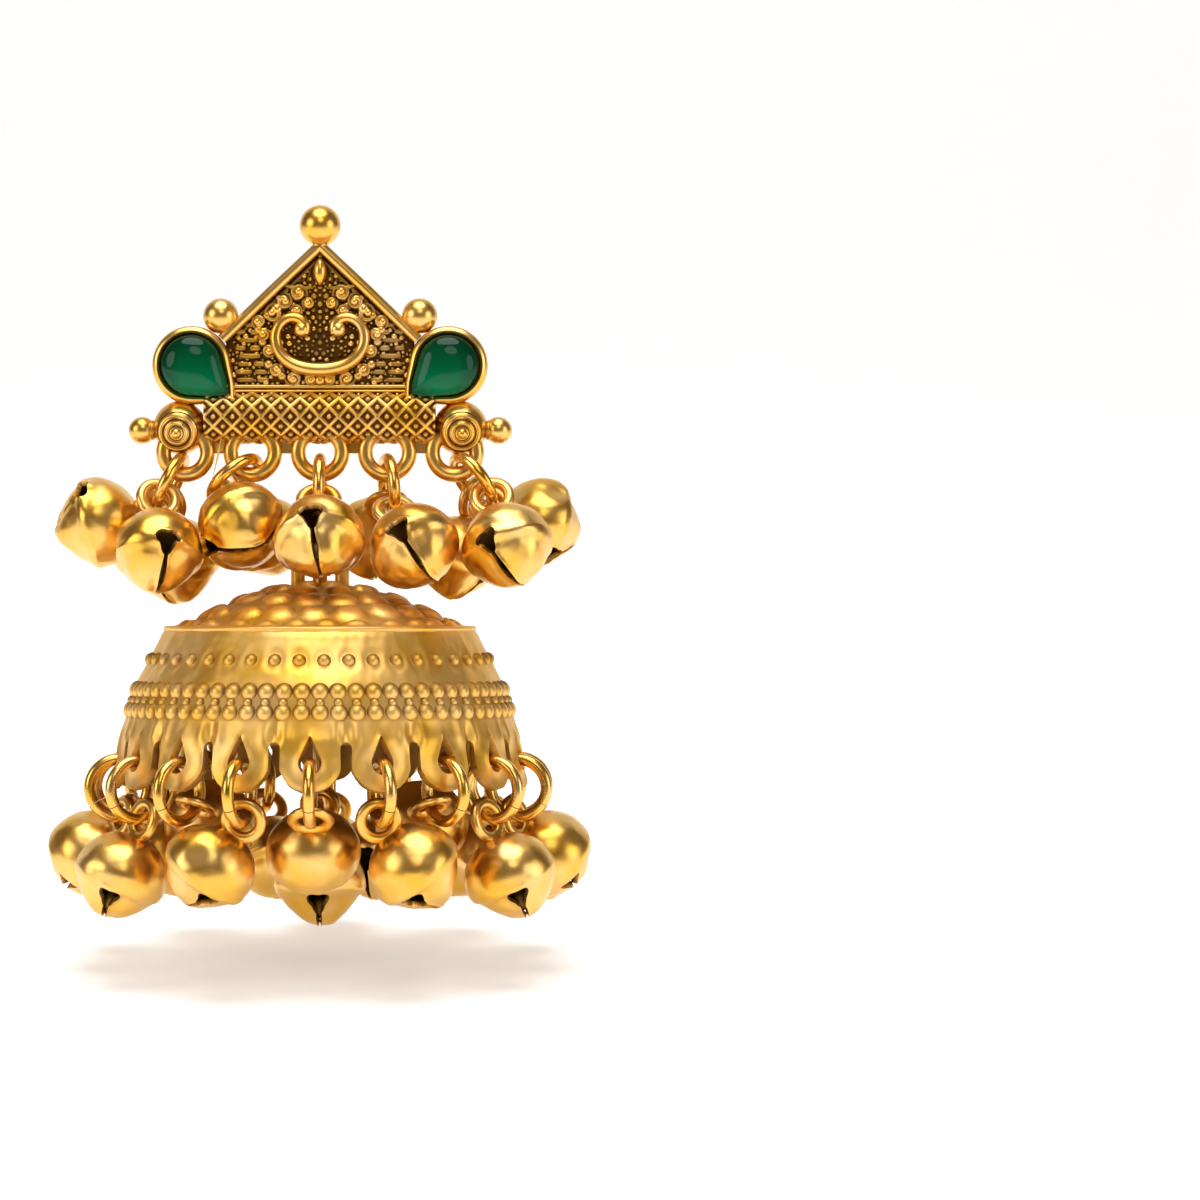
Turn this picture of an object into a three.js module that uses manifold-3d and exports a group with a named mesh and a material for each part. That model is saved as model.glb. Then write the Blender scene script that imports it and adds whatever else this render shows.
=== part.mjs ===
// Jhumka earring in antique gilt brass: a crown with two green glass stones that pins to
// the ear, and below it a pierced dome that hangs free, fringed with small round bells.
// Millimetres, +Z up. The ear post meets the crown's flat back at the origin, the crown
// faces -Y and the post points along +Y.
import * as THREE from "three";
import { mergeVertices } from "three/addons/utils/BufferGeometryUtils.js";
import Module from "manifold-3d";

const wasm = await Module();
wasm.setup();

// Clearances
const PLAY = 0.2; // between two wires that hang in each other
const GAP = 0.3; // between a seated piece and its seat

// Crown plate and its relief
const PLATE_DEPTH = 1.0;
const RELIEF_DEPTH = 0.8; // how far rims and ornament stand out of the plate
const GABLE_TOP = 8.5; // height of the gable's point above the post
const EAVES_HEIGHT = 1.15;
const EAVES_HALF = 7.7;
const FOOT_DROP = 4.2; // the plate's lower edge below the post
const RIM_RADIUS = 0.5;
const TOP_BALL = 1.68; // radii of the round balls
const SIDE_BALL = 1.45;
const OUTER_BALL = 1.12;

// Pear settings and their stones
const STONE_RADIUS = 2.46;
const STONE_TIP = 4.2; // from the round end's centre to the tip
const STONE_RISE = 1.3;
const STONE_GIRDLE = 0.7;
const BEZEL_WALL = 0.75;
const BEZEL_DEPTH = 2.0;
const BEZEL_OUT = 10.5; // the round end's centre, out from the middle and below the post
const BEZEL_DROP = 1.3;

// Lattice roll under the gable and its end domes
const ROLL_RADIUS = 2.1;
const ROLL_HALF = 9.45;
const ROLL_DROP = 5.55;
const ROLL_AXIS = 0.6; // in front of the flat back
const DIAMOND = 0.79; // half the lattice's pitch
const DIAMOND_RISE = 0.14;
const END_DOME = 2.2;
const END_DROP = 6.4;
const BOSS_RADIUS = 1.4;
const TAB_HALF = 0.7;
const TAB_DROP = 8.5;

// Cast loops, jump rings and bells
const LOOP_RADIUS = 1.8; // to the middle of the wire
const LOOP_WIRE = 0.62;
const LOOP_PITCH = 0.582 * ROLL_HALF;
const LOOP_DROP = 8.45;
const LOOP_FRONT = 1.2;
const RING_RADIUS = 2.35;
const RING_WIRE = 0.5;
const BELL_RADIUS = 3.8;
const BELL_WALL = 0.5;
const SLOT_WIDTH = 1.0;
const SLOT_HOLE = 0.9;
const BAIL_RADIUS = 1.9;
const BAIL_HOLE = 1.3;
const BAIL_WIDTH = 0.6;
const BAIL_SINK = 0.6; // how deep the bail sits in the top of the bell
const BAIL_SLACK = 0.66; // room left over a slanting ring

// Dome and what hangs in it
const DOME_RADIUS = 17.05;
const DOME_HEIGHT = 16.6;
const DOME_WALL = 0.8;
const PETALS = 18;
const PETAL_LENGTH = 3.95; // from the notch's top to the hem
const NOTCH_WIDTH = 0.9;
const TEAR_WIDTH = 1.9;
const TEAR_LENGTH = 3.3;
const HEM_LIP = 1.35; // metal left under the teardrop
const COBBLE_RISE = 0.22;
const EYE_HALF = 1.8; // half width of the dome's tall loop, to the wire's middle
const EYE_WIRE = 0.6;
const EYE_RISE = 7.35; // height of that loop's top above the dome
const PIN_WIRE = 0.6;
const PIN_LENGTH = 17.0;
const PIN_HEAD = 0.9;
const PIN_EYE = 1.2; // radius of the eye at the pin's foot, to the wire's middle

// Ear post
const POST_WIRE = 0.45;
const POST_LENGTH = 10.5;
const POST_PAD = 2.2;
const POST_PAD_DEPTH = 0.5;

const rad = THREE.MathUtils.degToRad;
const vec = (x, y, z) => new THREE.Vector3(x, y, z);

// A closed three.js geometry as a solid whose faces point outwards.
function solid(geometry) {
  const bare = geometry.index ? geometry.toNonIndexed() : geometry.clone();
  bare.deleteAttribute("normal");
  bare.deleteAttribute("uv");
  const merged = mergeVertices(bare, 1e-4);
  const points = merged.attributes.position.array;
  const index = merged.index.array;
  const faces = [];
  let volume = 0;
  for (let i = 0; i < index.length; i += 3) {
    const [a, b, c] = [index[i], index[i + 1], index[i + 2]];
    if (a === b || b === c || a === c) continue;
    faces.push(a, b, c);
    const [p, q, r] = [a, b, c].map((k) => vec(points[3 * k], points[3 * k + 1], points[3 * k + 2]));
    volume += p.dot(q.cross(r));
  }
  const outward = volume > 0 ? faces : faces.reverse();
  const triVerts = Uint32Array.from(outward);
  const vertProperties = Float32Array.from(points);
  return new wasm.Manifold(new wasm.Mesh({ numProp: 3, vertProperties, triVerts }));
}

function joined(solids) {
  return solids.reduce((whole, piece) => whole.add(piece));
}

function geometryOf(body) {
  const mesh = body.getMesh();
  const geometry = new THREE.BufferGeometry();
  geometry.setAttribute("position", new THREE.BufferAttribute(mesh.vertProperties, 3));
  geometry.setIndex(new THREE.BufferAttribute(mesh.triVerts, 1));
  geometry.computeVertexNormals();
  return geometry;
}

function block(x0, x1, y0, y1, z0, z1) {
  const box = new THREE.BoxGeometry(x1 - x0, y1 - y0, z1 - z0);
  return solid(box.translate((x0 + x1) / 2, (y0 + y1) / 2, (z0 + z1) / 2));
}

function ball(radius, at, across = 10, down = 4) {
  return solid(new THREE.SphereGeometry(radius, across, down).translate(at.x, at.y, at.z));
}

// A round bar between two points.
function bar(from, to, radius, sides = 5) {
  const along = to.clone().sub(from);
  const rod = new THREE.CylinderGeometry(radius, radius, along.length(), sides);
  const turn = new THREE.Quaternion().setFromUnitVectors(vec(0, 1, 0), along.normalize());
  const middle = from.clone().add(to).multiplyScalar(0.5);
  return solid(rod.applyMatrix4(new THREE.Matrix4().compose(middle, turn, vec(1, 1, 1))));
}

function tube(curve, steps, radius, sides = 5) {
  const section = new THREE.Shape();
  for (let i = 0; i < sides; i++) {
    const a = (2 * Math.PI * i) / sides;
    if (i === 0) section.moveTo(radius, 0);
    else section.lineTo(radius * Math.cos(a), radius * Math.sin(a));
  }
  return solid(new THREE.ExtrudeGeometry(section, { steps, bevelEnabled: false, extrudePath: curve }));
}

// A flat outline, given in the crown's x and z, as a plate from one depth to another.
function plate(points, back, front) {
  const shape = new THREE.Shape(points.map(([x, z]) => new THREE.Vector2(x, z)));
  const slab = new THREE.ExtrudeGeometry(shape, { depth: front - back, bevelEnabled: false });
  return solid(slab.rotateX(Math.PI / 2).translate(0, -back, 0));
}

// The wire torus of a loop or ring, with its axis along the given direction.
function wireRing(radius, wire, centre, axis, sides = 5, steps = 10) {
  const ring = new THREE.TorusGeometry(radius, wire, sides, steps);
  const turn = new THREE.Quaternion().setFromUnitVectors(vec(0, 0, 1), axis.clone().normalize());
  return solid(ring.applyMatrix4(new THREE.Matrix4().compose(centre, turn, vec(1, 1, 1))));
}

// Pear outline: a circle with two straight sides that run to a tip, turned to point
// down and towards the middle of the crown.
function pearReach(radius, tip, angle) {
  const touch = Math.acos(radius / tip);
  const off = Math.abs(Math.atan2(Math.sin(angle), Math.cos(angle)));
  return off < touch ? radius / Math.cos(touch - off) : radius;
}

const PEAR_STEPS = 16;
const PEAR_LEAN = rad(-39);
const pearTip = STONE_TIP + BEZEL_WALL * (STONE_TIP / STONE_RADIUS) * 0.6;

function pearOutline(side, radius, tip) {
  return Array.from({ length: PEAR_STEPS }, (_, i) => {
    const angle = (2 * Math.PI * i) / PEAR_STEPS;
    const reach = pearReach(radius, tip, angle);
    const x = -BEZEL_OUT + reach * Math.cos(angle + PEAR_LEAN);
    return [-side * x, -BEZEL_DROP + reach * Math.sin(angle + PEAR_LEAN)];
  });
}

const bezel = (side) => plate(pearOutline(side, STONE_RADIUS + BEZEL_WALL, pearTip), 0, BEZEL_DEPTH);

// The recess of a setting, open to the front.
function stoneSeat(side) {
  const outline = pearOutline(side, STONE_RADIUS + PLAY, STONE_TIP + PLAY);
  return plate(outline, PLATE_DEPTH, PLATE_DEPTH + BEZEL_DEPTH);
}

// A smooth cabochon: a girdle with a low rounded crown over the pear outline.
function stone(side) {
  const rows = [
    { out: 0.0, up: 0 },
    { out: 1.0, up: 0 },
    { out: 1.0, up: STONE_GIRDLE },
    { out: 0.8, up: STONE_GIRDLE + 0.6 * STONE_RISE },
    { out: 0.45, up: STONE_GIRDLE + 0.92 * STONE_RISE },
    { out: 0.0, up: STONE_GIRDLE + STONE_RISE },
  ];
  const profile = rows.map((row) => new THREE.Vector2(row.out, row.up));
  const body = new THREE.LatheGeometry(profile, PEAR_STEPS);
  const points = body.attributes.position;
  const back = PLATE_DEPTH + PLAY;
  for (let i = 0; i < points.count; i++) {
    const out = Math.hypot(points.getX(i), points.getZ(i));
    const angle = Math.atan2(points.getX(i), points.getZ(i));
    const reach = out * pearReach(STONE_RADIUS, STONE_TIP, angle);
    const x = -BEZEL_OUT + reach * Math.cos(angle + PEAR_LEAN);
    const z = -BEZEL_DROP + reach * Math.sin(angle + PEAR_LEAN);
    points.setXYZ(i, -side * x, -(back + points.getY(i)), z);
  }
  return solid(body);
}

// The roll is a half cylinder whose lattice is raised and sunk points in turn.
function latticeRoll() {
  const along = 2 * Math.round(ROLL_HALF / DIAMOND / 2);
  const round = 8;
  const roll = new THREE.CylinderGeometry(ROLL_RADIUS, ROLL_RADIUS, 2 * ROLL_HALF, round, along);
  const points = roll.attributes.position;
  const pitch = (2 * ROLL_HALF) / along;
  for (let i = 0; i < points.count; i++) {
    const [x, y, z] = [points.getX(i), points.getY(i), points.getZ(i)];
    const out = Math.hypot(x, z);
    if (out < ROLL_RADIUS / 2 || Math.abs(y) > ROLL_HALF - pitch / 2) continue;
    const turn = Math.round((Math.atan2(z, x) / (2 * Math.PI)) * round);
    const odd = Math.abs(turn + Math.round(y / pitch)) % 2;
    const grow = 1 + (odd ? DIAMOND_RISE : -DIAMOND_RISE) / ROLL_RADIUS;
    points.setXYZ(i, x * grow, y, z * grow);
  }
  return solid(roll.rotateZ(Math.PI / 2).translate(0, -ROLL_AXIS, -ROLL_DROP));
}

// Raised ornament in the gable: a crescent with curled ends, a marquise bead, side
// bars, and granules.
function gableRelief() {
  const front = -PLATE_DEPTH;
  const width = EAVES_HALF;
  const curl = Array.from({ length: 13 }, (_, i) => {
    const share = (i - 6) / 6;
    const angle = rad(-90 + 140 * share);
    const reach = 0.47 * width * (1 - 0.22 * Math.abs(share));
    return vec(reach * Math.cos(angle), front - 0.1, EAVES_HEIGHT - 0.15 * width + reach * Math.sin(angle));
  });
  const pieces = [tube(new THREE.CatmullRomCurve3(curl), 12, 0.5, 4)];
  for (const end of [curl[0], curl[12]]) pieces.push(ball(0.8, end, 6, 4));
  const bead = new THREE.SphereGeometry(1, 6, 4).scale(0.6, RELIEF_DEPTH, 1.2);
  pieces.push(solid(bead.translate(0, front, GABLE_TOP - 2.2)));
  const granules = [
    { x: 0, z: 0.94, size: 0.35 },
    { x: 0, z: 0.13, size: 0.75 },
    { x: 0, z: -0.33, size: 0.65 },
    { x: 0.13, z: -0.37, size: 0.55 },
    { x: 0.22, z: 0.58, size: 0.4 },
    { x: 0.62, z: 0.36, size: 0.45 },
  ];
  for (const row of granules) {
    for (const side of row.x ? [-1, 1] : [1]) {
      const at = vec(side * row.x * width, front - 0.1, row.z * (GABLE_TOP - 1));
      pieces.push(solid(new THREE.IcosahedronGeometry(row.size, 0).translate(at.x, at.y, at.z)));
    }
  }
  for (const side of [-1, 1]) {
    for (let i = 0; i < 4; i++) {
      const z = EAVES_HEIGHT - 0.4 - i * 1.15;
      pieces.push(bar(vec(side * 0.62 * width, front - 0.1, z), vec(side * 0.92 * width, front - 0.1, z), 0.38, 4));
    }
    const low = vec(side * 0.12 * width, front - 0.1, 0.56 * GABLE_TOP);
    pieces.push(bar(low, vec(side * 0.42 * width, front - 0.1, 0.476 * GABLE_TOP), 0.3, 4));
  }
  return joined(pieces);
}

const loopX = (index) => index * LOOP_PITCH;
const loopCentre = (index) => vec(loopX(index), -LOOP_FRONT, -LOOP_DROP);

function crown() {
  const foot = -FOOT_DROP;
  const outline = [
    [0, GABLE_TOP],
    [-EAVES_HALF, EAVES_HEIGHT],
    [-EAVES_HALF, foot],
    [EAVES_HALF, foot],
    [EAVES_HALF, EAVES_HEIGHT],
  ];
  const rimDepth = -PLATE_DEPTH - RELIEF_DEPTH + RIM_RADIUS;
  const apex = vec(0, rimDepth, GABLE_TOP);
  const pieces = [plate(outline, 0, PLATE_DEPTH), latticeRoll(), gableRelief()];
  pieces.push(ball(TOP_BALL, vec(0, -0.6 * TOP_BALL, GABLE_TOP + 0.97 * TOP_BALL)));
  for (const side of [-1, 1]) {
    pieces.push(bar(apex, vec(side * EAVES_HALF, rimDepth, EAVES_HEIGHT), RIM_RADIUS));
    pieces.push(bezel(side));
    const slope = vec(side * (EAVES_HALF + 0.3 * SIDE_BALL), -0.6 * SIDE_BALL, EAVES_HEIGHT + 1.1 * SIDE_BALL);
    pieces.push(ball(SIDE_BALL, slope));
    const end = vec(side * (ROLL_HALF + 0.92 * END_DOME), -0.3 * END_DOME, -END_DROP);
    pieces.push(ball(END_DOME, end, 12, 6));
    const boss = end.clone().add(vec(side * 0.1 * END_DOME, 0, -0.2 * END_DOME));
    const bossFront = boss.clone().add(vec(0, -END_DOME, 0));
    pieces.push(bar(boss, bossFront, BOSS_RADIUS, 10));
    pieces.push(ball(0.45 * BOSS_RADIUS, bossFront, 6, 4));
    const outer = end.clone().add(vec(side * (END_DOME + 0.8 * OUTER_BALL), 0, -0.1 * END_DOME));
    pieces.push(ball(OUTER_BALL, outer));
  }
  for (let i = -2; i <= 2; i++) {
    pieces.push(wireRing(LOOP_RADIUS, LOOP_WIRE, loopCentre(i), vec(0, 1, 0), 5, 10));
  }
  for (let i = -2; i < 2; i++) {
    const x = loopX(i + 0.5);
    pieces.push(block(x - TAB_HALF, x + TAB_HALF, -PLATE_DEPTH, 0, -TAB_DROP, -ROLL_DROP));
  }
  const flatBack = block(-30, 30, -20, 0, -20, 20);
  const pad = bar(vec(0, -0.2, 0), vec(0, POST_PAD_DEPTH, 0), POST_PAD, 10);
  const post = bar(vec(0, -0.2, 0), vec(0, POST_LENGTH, 0), POST_WIRE, 6);
  const cast = joined(pieces).intersect(flatBack).subtract(stoneSeat(-1)).subtract(stoneSeat(1));
  return joined([cast, pad, post]);
}

// A jump ring hangs in a wire of the given radius: `down` points from that wire to the
// ring's far side and `across` is the other direction in the ring's plane.
function hungRing(wirePoint, wire, down, across) {
  const sideways = across.clone().addScaledVector(down, -across.dot(down)).normalize();
  const drop = RING_RADIUS - RING_WIRE - wire - PLAY;
  const centre = wirePoint.clone().addScaledVector(down, drop);
  const axis = down.clone().cross(sideways);
  const body = wireRing(RING_RADIUS, RING_WIRE, centre, axis);
  return { centre, down, sideways, radius: RING_RADIUS, body };
}

const BAIL_REACH = BELL_RADIUS + BAIL_RADIUS - BAIL_SINK;
const BELL_REACH = BAIL_REACH + BAIL_HOLE - RING_WIRE - BAIL_SLACK;

// A round bell with its bail up along +Y and its slot across the bottom, turned by `roll`.
function bellShape(roll) {
  const rows = [
    { up: -1.02, out: 0 },
    { up: -0.7, out: 0.7 },
    { up: 0.0, out: 1.0 },
    { up: 0.7, out: 0.7 },
    { up: 0.97, out: 0 },
  ];
  const lathe = (size, sides, list) =>
    solid(new THREE.LatheGeometry(list.map((row) => new THREE.Vector2(row.out * size, row.up * size)), sides));
  const shell = lathe(BELL_RADIUS, 10, rows);
  const hollow = [
    { up: -0.98, out: 0 },
    { up: 0.0, out: 0.98 },
    { up: 0.9, out: 0 },
  ];
  const inside = lathe(BELL_RADIUS - BELL_WALL, 6, hollow);
  const slot = new THREE.BoxGeometry(1.3 * BELL_RADIUS, BELL_RADIUS, SLOT_WIDTH).translate(0, -BELL_RADIUS, 0);
  const hole = new THREE.BoxGeometry(2 * SLOT_HOLE, BELL_RADIUS, 2 * SLOT_HOLE).translate(0, -BELL_RADIUS, 0);
  const turn = rad(roll);
  const cuts = solid(slot.rotateY(turn)).add(solid(hole.rotateZ(rad(42)).rotateY(turn)));
  const disc = (radius, depth) =>
    solid(new THREE.CylinderGeometry(radius, radius, depth, 7).rotateX(Math.PI / 2).translate(0, BAIL_REACH, 0));
  const bail = disc(BAIL_RADIUS, BAIL_WIDTH).subtract(disc(BAIL_HOLE, 2 * BAIL_WIDTH)).subtract(inside);
  return shell.subtract(inside).add(bail).subtract(cuts);
}

// A bell on a ring: `at` is the place round the ring from its far side, `pointing` the
// way from the bail to the bell's body, and `roll` turns the slot.
function hungBell(ring, at, pointing, roll) {
  const angle = rad(at);
  const radial = ring.down.clone().multiplyScalar(Math.cos(angle)).addScaledVector(ring.sideways, Math.sin(angle));
  const onRing = ring.centre.clone().addScaledVector(radial, ring.radius);
  const tangent = ring.down.clone().multiplyScalar(-Math.sin(angle)).addScaledVector(ring.sideways, Math.cos(angle));
  const centre = onRing.clone().addScaledVector(pointing, BELL_REACH);
  const up = pointing.clone().negate();
  const axis = tangent.addScaledVector(up, -tangent.dot(up)).normalize();
  const third = up.clone().cross(axis);
  const place = new THREE.Matrix4().makeBasis(third, up, axis).setPosition(centre);
  return geometryOf(bellShape(roll)).applyMatrix4(place);
}

// Dome, in heights below its top and radii from its axis
const ringFoot = LOOP_DROP + LOOP_RADIUS + 2 * RING_RADIUS - 2 * RING_WIRE - LOOP_WIRE - PLAY;
const domeTop = ringFoot - PLAY - 2 * EYE_WIRE + EYE_RISE;

const domeRows = [
  { drop: 0.0, out: 0.0 },
  { drop: 0.012, out: 0.16, cobble: 1 },
  { drop: 0.045, out: 0.3, cobble: 1 },
  { drop: 0.1, out: 0.45, cobble: 1 },
  { drop: 0.17, out: 0.59, cobble: 1 },
  { drop: 0.222, out: 0.76 },
  { drop: 0.25, out: 0.75 },
  { drop: 0.37, out: 0.82 },
  { drop: 0.49, out: 0.88 },
  { drop: 0.52, out: 0.912 },
  { drop: 0.55, out: 0.9 },
  { drop: 0.61, out: 0.932 },
  { drop: 0.65, out: 0.925 },
  { drop: 1.0, out: 1.0 },
];

const DOME_SIDES = 2 * PETALS;

function domeOutside() {
  const profile = domeRows.map((row) => new THREE.Vector2(row.out * DOME_RADIUS, -row.drop * DOME_HEIGHT));
  profile.push(new THREE.Vector2(0, -DOME_HEIGHT));
  const shell = new THREE.LatheGeometry(profile, DOME_SIDES);
  const points = shell.attributes.position;
  const turns = points.count / profile.length;
  for (let i = 0; i < points.count; i++) {
    const row = i % profile.length;
    const turn = Math.floor(i / profile.length) % (turns - 1);
    if (!domeRows[row]?.cobble) continue;
    const rise = (turn + row) % 2 ? COBBLE_RISE : 0;
    points.setY(i, points.getY(i) + rise);
  }
  return solid(shell.rotateX(Math.PI / 2));
}

function domeInside() {
  const inner = [0.0, 0.3, 0.59].map((out) => {
    const row = domeRows.find((each) => each.out === out);
    return new THREE.Vector2(out * DOME_RADIUS * 0.97, -row.drop * DOME_HEIGHT - DOME_WALL);
  });
  for (const drop of [0.37, 1.0]) {
    const row = domeRows.find((each) => each.drop === drop);
    inner.push(new THREE.Vector2(row.out * DOME_RADIUS - DOME_WALL, -drop * DOME_HEIGHT));
  }
  const mouth = inner[inner.length - 1];
  inner.push(new THREE.Vector2(mouth.x, -1.2 * DOME_HEIGHT), new THREE.Vector2(0, -1.2 * DOME_HEIGHT));
  return solid(new THREE.LatheGeometry(inner, PETALS).rotateX(Math.PI / 2));
}

const petalPitch = (2 * Math.PI * DOME_RADIUS) / PETALS;

// The notch between two petals: a narrow slot that opens out along their round tips.
function notchOutline() {
  const half = petalPitch / 2;
  const tip = half - 0.4 * NOTCH_WIDTH;
  const tipCentre = -DOME_HEIGHT + tip;
  const top = -DOME_HEIGHT + PETAL_LENGTH;
  const right = [[0.5 * NOTCH_WIDTH, top - 0.4 * NOTCH_WIDTH]];
  for (const degrees of [5, 60]) {
    right.push([half - tip * Math.cos(rad(degrees)), tipCentre - tip * Math.sin(rad(degrees))]);
  }
  right.push([half, -DOME_HEIGHT - 0.3 * tip]);
  const left = right.map(([x, z]) => [-x, z]).reverse();
  return [[0, top], ...right, ...left];
}

function tearOutline() {
  const foot = -DOME_HEIGHT + HEM_LIP;
  const rows = [
    { out: 0.0, up: 1.0 },
    { out: 0.5, up: 0.32 },
    { out: 0.33, up: 0.05 },
    { out: 0.0, up: 0.0 },
  ];
  const right = rows.map((row) => [row.out * TEAR_WIDTH, foot + row.up * TEAR_LENGTH]);
  return [...right, ...right.slice(1, -1).map(([x, z]) => [-x, z]).reverse()];
}

// A cutter through the hem, turned to its place round the dome; azimuth 0 is the front.
function hemCutter(outline, azimuth) {
  const shape = new THREE.Shape(outline.map(([x, z]) => new THREE.Vector2(x, z)));
  const bite = new THREE.ExtrudeGeometry(shape, { depth: 0.5 * DOME_RADIUS, bevelEnabled: false });
  bite.rotateX(Math.PI / 2).translate(0, -0.75 * DOME_RADIUS, 0);
  return solid(bite.rotateZ(azimuth));
}

const petalAzimuth = (index) => (2 * Math.PI * index) / PETALS;

function dome() {
  const cuts = [domeInside(), bar(vec(0, 0, -2), vec(0, 0, 2), PIN_WIRE + GAP, 8)];
  for (let i = 0; i < PETALS; i++) {
    cuts.push(hemCutter(tearOutline(), petalAzimuth(i)));
    cuts.push(hemCutter(notchOutline(), petalAzimuth(i + 0.5)));
  }
  const legs = [vec(-EYE_HALF, 0, -0.6)];
  const bow = EYE_RISE - EYE_WIRE - EYE_HALF;
  for (let i = 0; i <= 4; i++) {
    const angle = Math.PI * (1 - i / 4);
    legs.push(vec(EYE_HALF * Math.cos(angle), 0, bow + EYE_HALF * Math.sin(angle)));
  }
  legs.push(vec(EYE_HALF, 0, -0.6));
  const eye = joined(legs.slice(1).map((point, i) => bar(legs[i], point, EYE_WIRE)).concat(
    legs.slice(1, -1).map((point) => ball(EYE_WIRE, point, 5, 4)),
  ));
  return joined([domeOutside(), eye]).subtract(joined(cuts));
}

// A headed pin drops through the dome's top and ends in an eye for the middle bell.
function centrePin() {
  const head = bar(vec(0, 0, COBBLE_RISE + GAP), vec(0, 0, COBBLE_RISE + GAP + 0.7), PIN_HEAD, 8);
  const rod = bar(vec(0, 0, COBBLE_RISE + 2 * GAP), vec(0, 0, -PIN_LENGTH - 0.5 * RING_WIRE), PIN_WIRE, 6);
  const eye = wireRing(PIN_EYE, RING_WIRE, vec(0, 0, -PIN_LENGTH - PIN_EYE), vec(0, 1, 0));
  return joined([head, rod, eye]);
}

const gold = { color: 0xc9973f, metalness: 1 };
const finishes = {
  crown: new THREE.MeshStandardMaterial({ ...gold, roughness: 0.42 }),
  dome: new THREE.MeshStandardMaterial({ ...gold, roughness: 0.48 }),
  ring: new THREE.MeshStandardMaterial({ color: 0xd3a24c, metalness: 1, roughness: 0.3 }),
  bell: new THREE.MeshStandardMaterial({ color: 0xcf9b40, metalness: 1, roughness: 0.36 }),
  stone: new THREE.MeshStandardMaterial({ color: 0x0b5a41, metalness: 0, roughness: 0.06 }),
};

const group = new THREE.Group();
const hanging = new THREE.Group();
hanging.position.set(0, -LOOP_FRONT, -domeTop);
group.add(hanging);

function addPiece(parent, name, geometry, finish) {
  const mesh = new THREE.Mesh(geometry, finish);
  mesh.name = name;
  parent.add(mesh);
}

addPiece(group, "crown", geometryOf(crown()), finishes.crown);
addPiece(group, "stone_left", geometryOf(stone(-1)), finishes.stone);
addPiece(group, "stone_right", geometryOf(stone(1)), finishes.stone);

const crownRings = [
  { name: "ring_far_left", loop: -2, lean: -26, forward: 2, turn: 8 },
  { name: "ring_left", loop: -1, lean: -35, forward: -34, turn: 28 },
  { name: "ring_middle", loop: 0, lean: 0, forward: 0, turn: 0 },
  { name: "ring_right", loop: 1, lean: 3, forward: -8, turn: -13 },
  { name: "ring_far_right", loop: 2, lean: 33, forward: -7, turn: -26 },
];

const crownBells = [
  { name: "bell_far_left", ring: 0, at: 1, azimuth: -95, dip: 12, roll: 40 },
  { name: "bell_left_front", ring: 0, at: -51, azimuth: 3, dip: 62, roll: 90 },
  { name: "bell_left_back", ring: 0, at: 52, azimuth: 158, dip: 72, roll: 90 },
  { name: "bell_left_high", ring: 1, at: -3, azimuth: 26, dip: 27, roll: 60 },
  { name: "bell_left_hidden", ring: 1, at: 50, azimuth: 146, dip: 53, roll: 90 },
  { name: "bell_middle", ring: 2, at: -66, azimuth: 3, dip: 42, roll: 80 },
  { name: "bell_right_front", ring: 3, at: -45, azimuth: 26, dip: 39, roll: 60 },
  { name: "bell_right_hidden", ring: 3, at: 49, azimuth: -167, dip: 36, roll: 90 },
  { name: "bell_far_right_front", ring: 4, at: -45, azimuth: 27, dip: 55, roll: 60 },
  { name: "bell_far_right", ring: 4, at: 6, azimuth: 119, dip: 16, roll: 40 },
  { name: "bell_far_right_back", ring: 4, at: 60, azimuth: -101, dip: 74, roll: 90 },
];

// A level direction has azimuth 0 to the front and 90 to the right; dip is below level.
function heading(azimuth, dip) {
  const [a, d] = [rad(azimuth), rad(dip)];
  return vec(Math.cos(d) * Math.sin(a), -Math.cos(d) * Math.cos(a), -Math.sin(d));
}

const rings = crownRings.map((row) => {
  const lean = vec(Math.sin(rad(row.lean)), 0, -Math.cos(rad(row.lean)));
  const wirePoint = loopCentre(row.loop).addScaledVector(lean, LOOP_RADIUS);
  const forward = rad(row.forward);
  const down = lean.multiplyScalar(Math.cos(forward)).add(vec(0, -Math.sin(forward), 0));
  const across = vec(Math.sin(rad(row.turn)), Math.cos(rad(row.turn)), 0);
  return hungRing(wirePoint, LOOP_WIRE, down, across);
});
rings.forEach((ring, i) => addPiece(group, crownRings[i].name, geometryOf(ring.body), finishes.ring));
for (const row of crownBells) {
  const bell = hungBell(rings[row.ring], row.at, heading(row.azimuth, row.dip), row.roll);
  addPiece(group, row.name, bell, finishes.bell);
}

addPiece(hanging, "dome", geometryOf(dome()), finishes.dome);
addPiece(hanging, "centre_pin", geometryOf(centrePin()), finishes.ring);

// Hem bells: the rows run from the front petal to the back one and repeat mirrored.
// `lean` is the bell's tilt outwards from straight down and `sway` its turn sideways.
const hemRows = [
  { at: -27, lean: -58, sway: 0, roll: 90 },
  { at: -26, lean: 39, sway: 93, roll: 60 },
  { at: -60, lean: 70, sway: 149, roll: 90 },
  { at: -14, lean: 23, sway: 44, roll: 40 },
  { at: -7, lean: 50, sway: 55, roll: 40 },
  { at: -33, lean: -40, sway: -8, roll: 90 },
  { at: 0, lean: 37, sway: -34, roll: 60 },
  { at: 0, lean: 37, sway: 34, roll: 60 },
  { at: -27, lean: -32, sway: 0, roll: 90 },
  { at: 3, lean: 33, sway: 0, roll: 90 },
];

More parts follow.
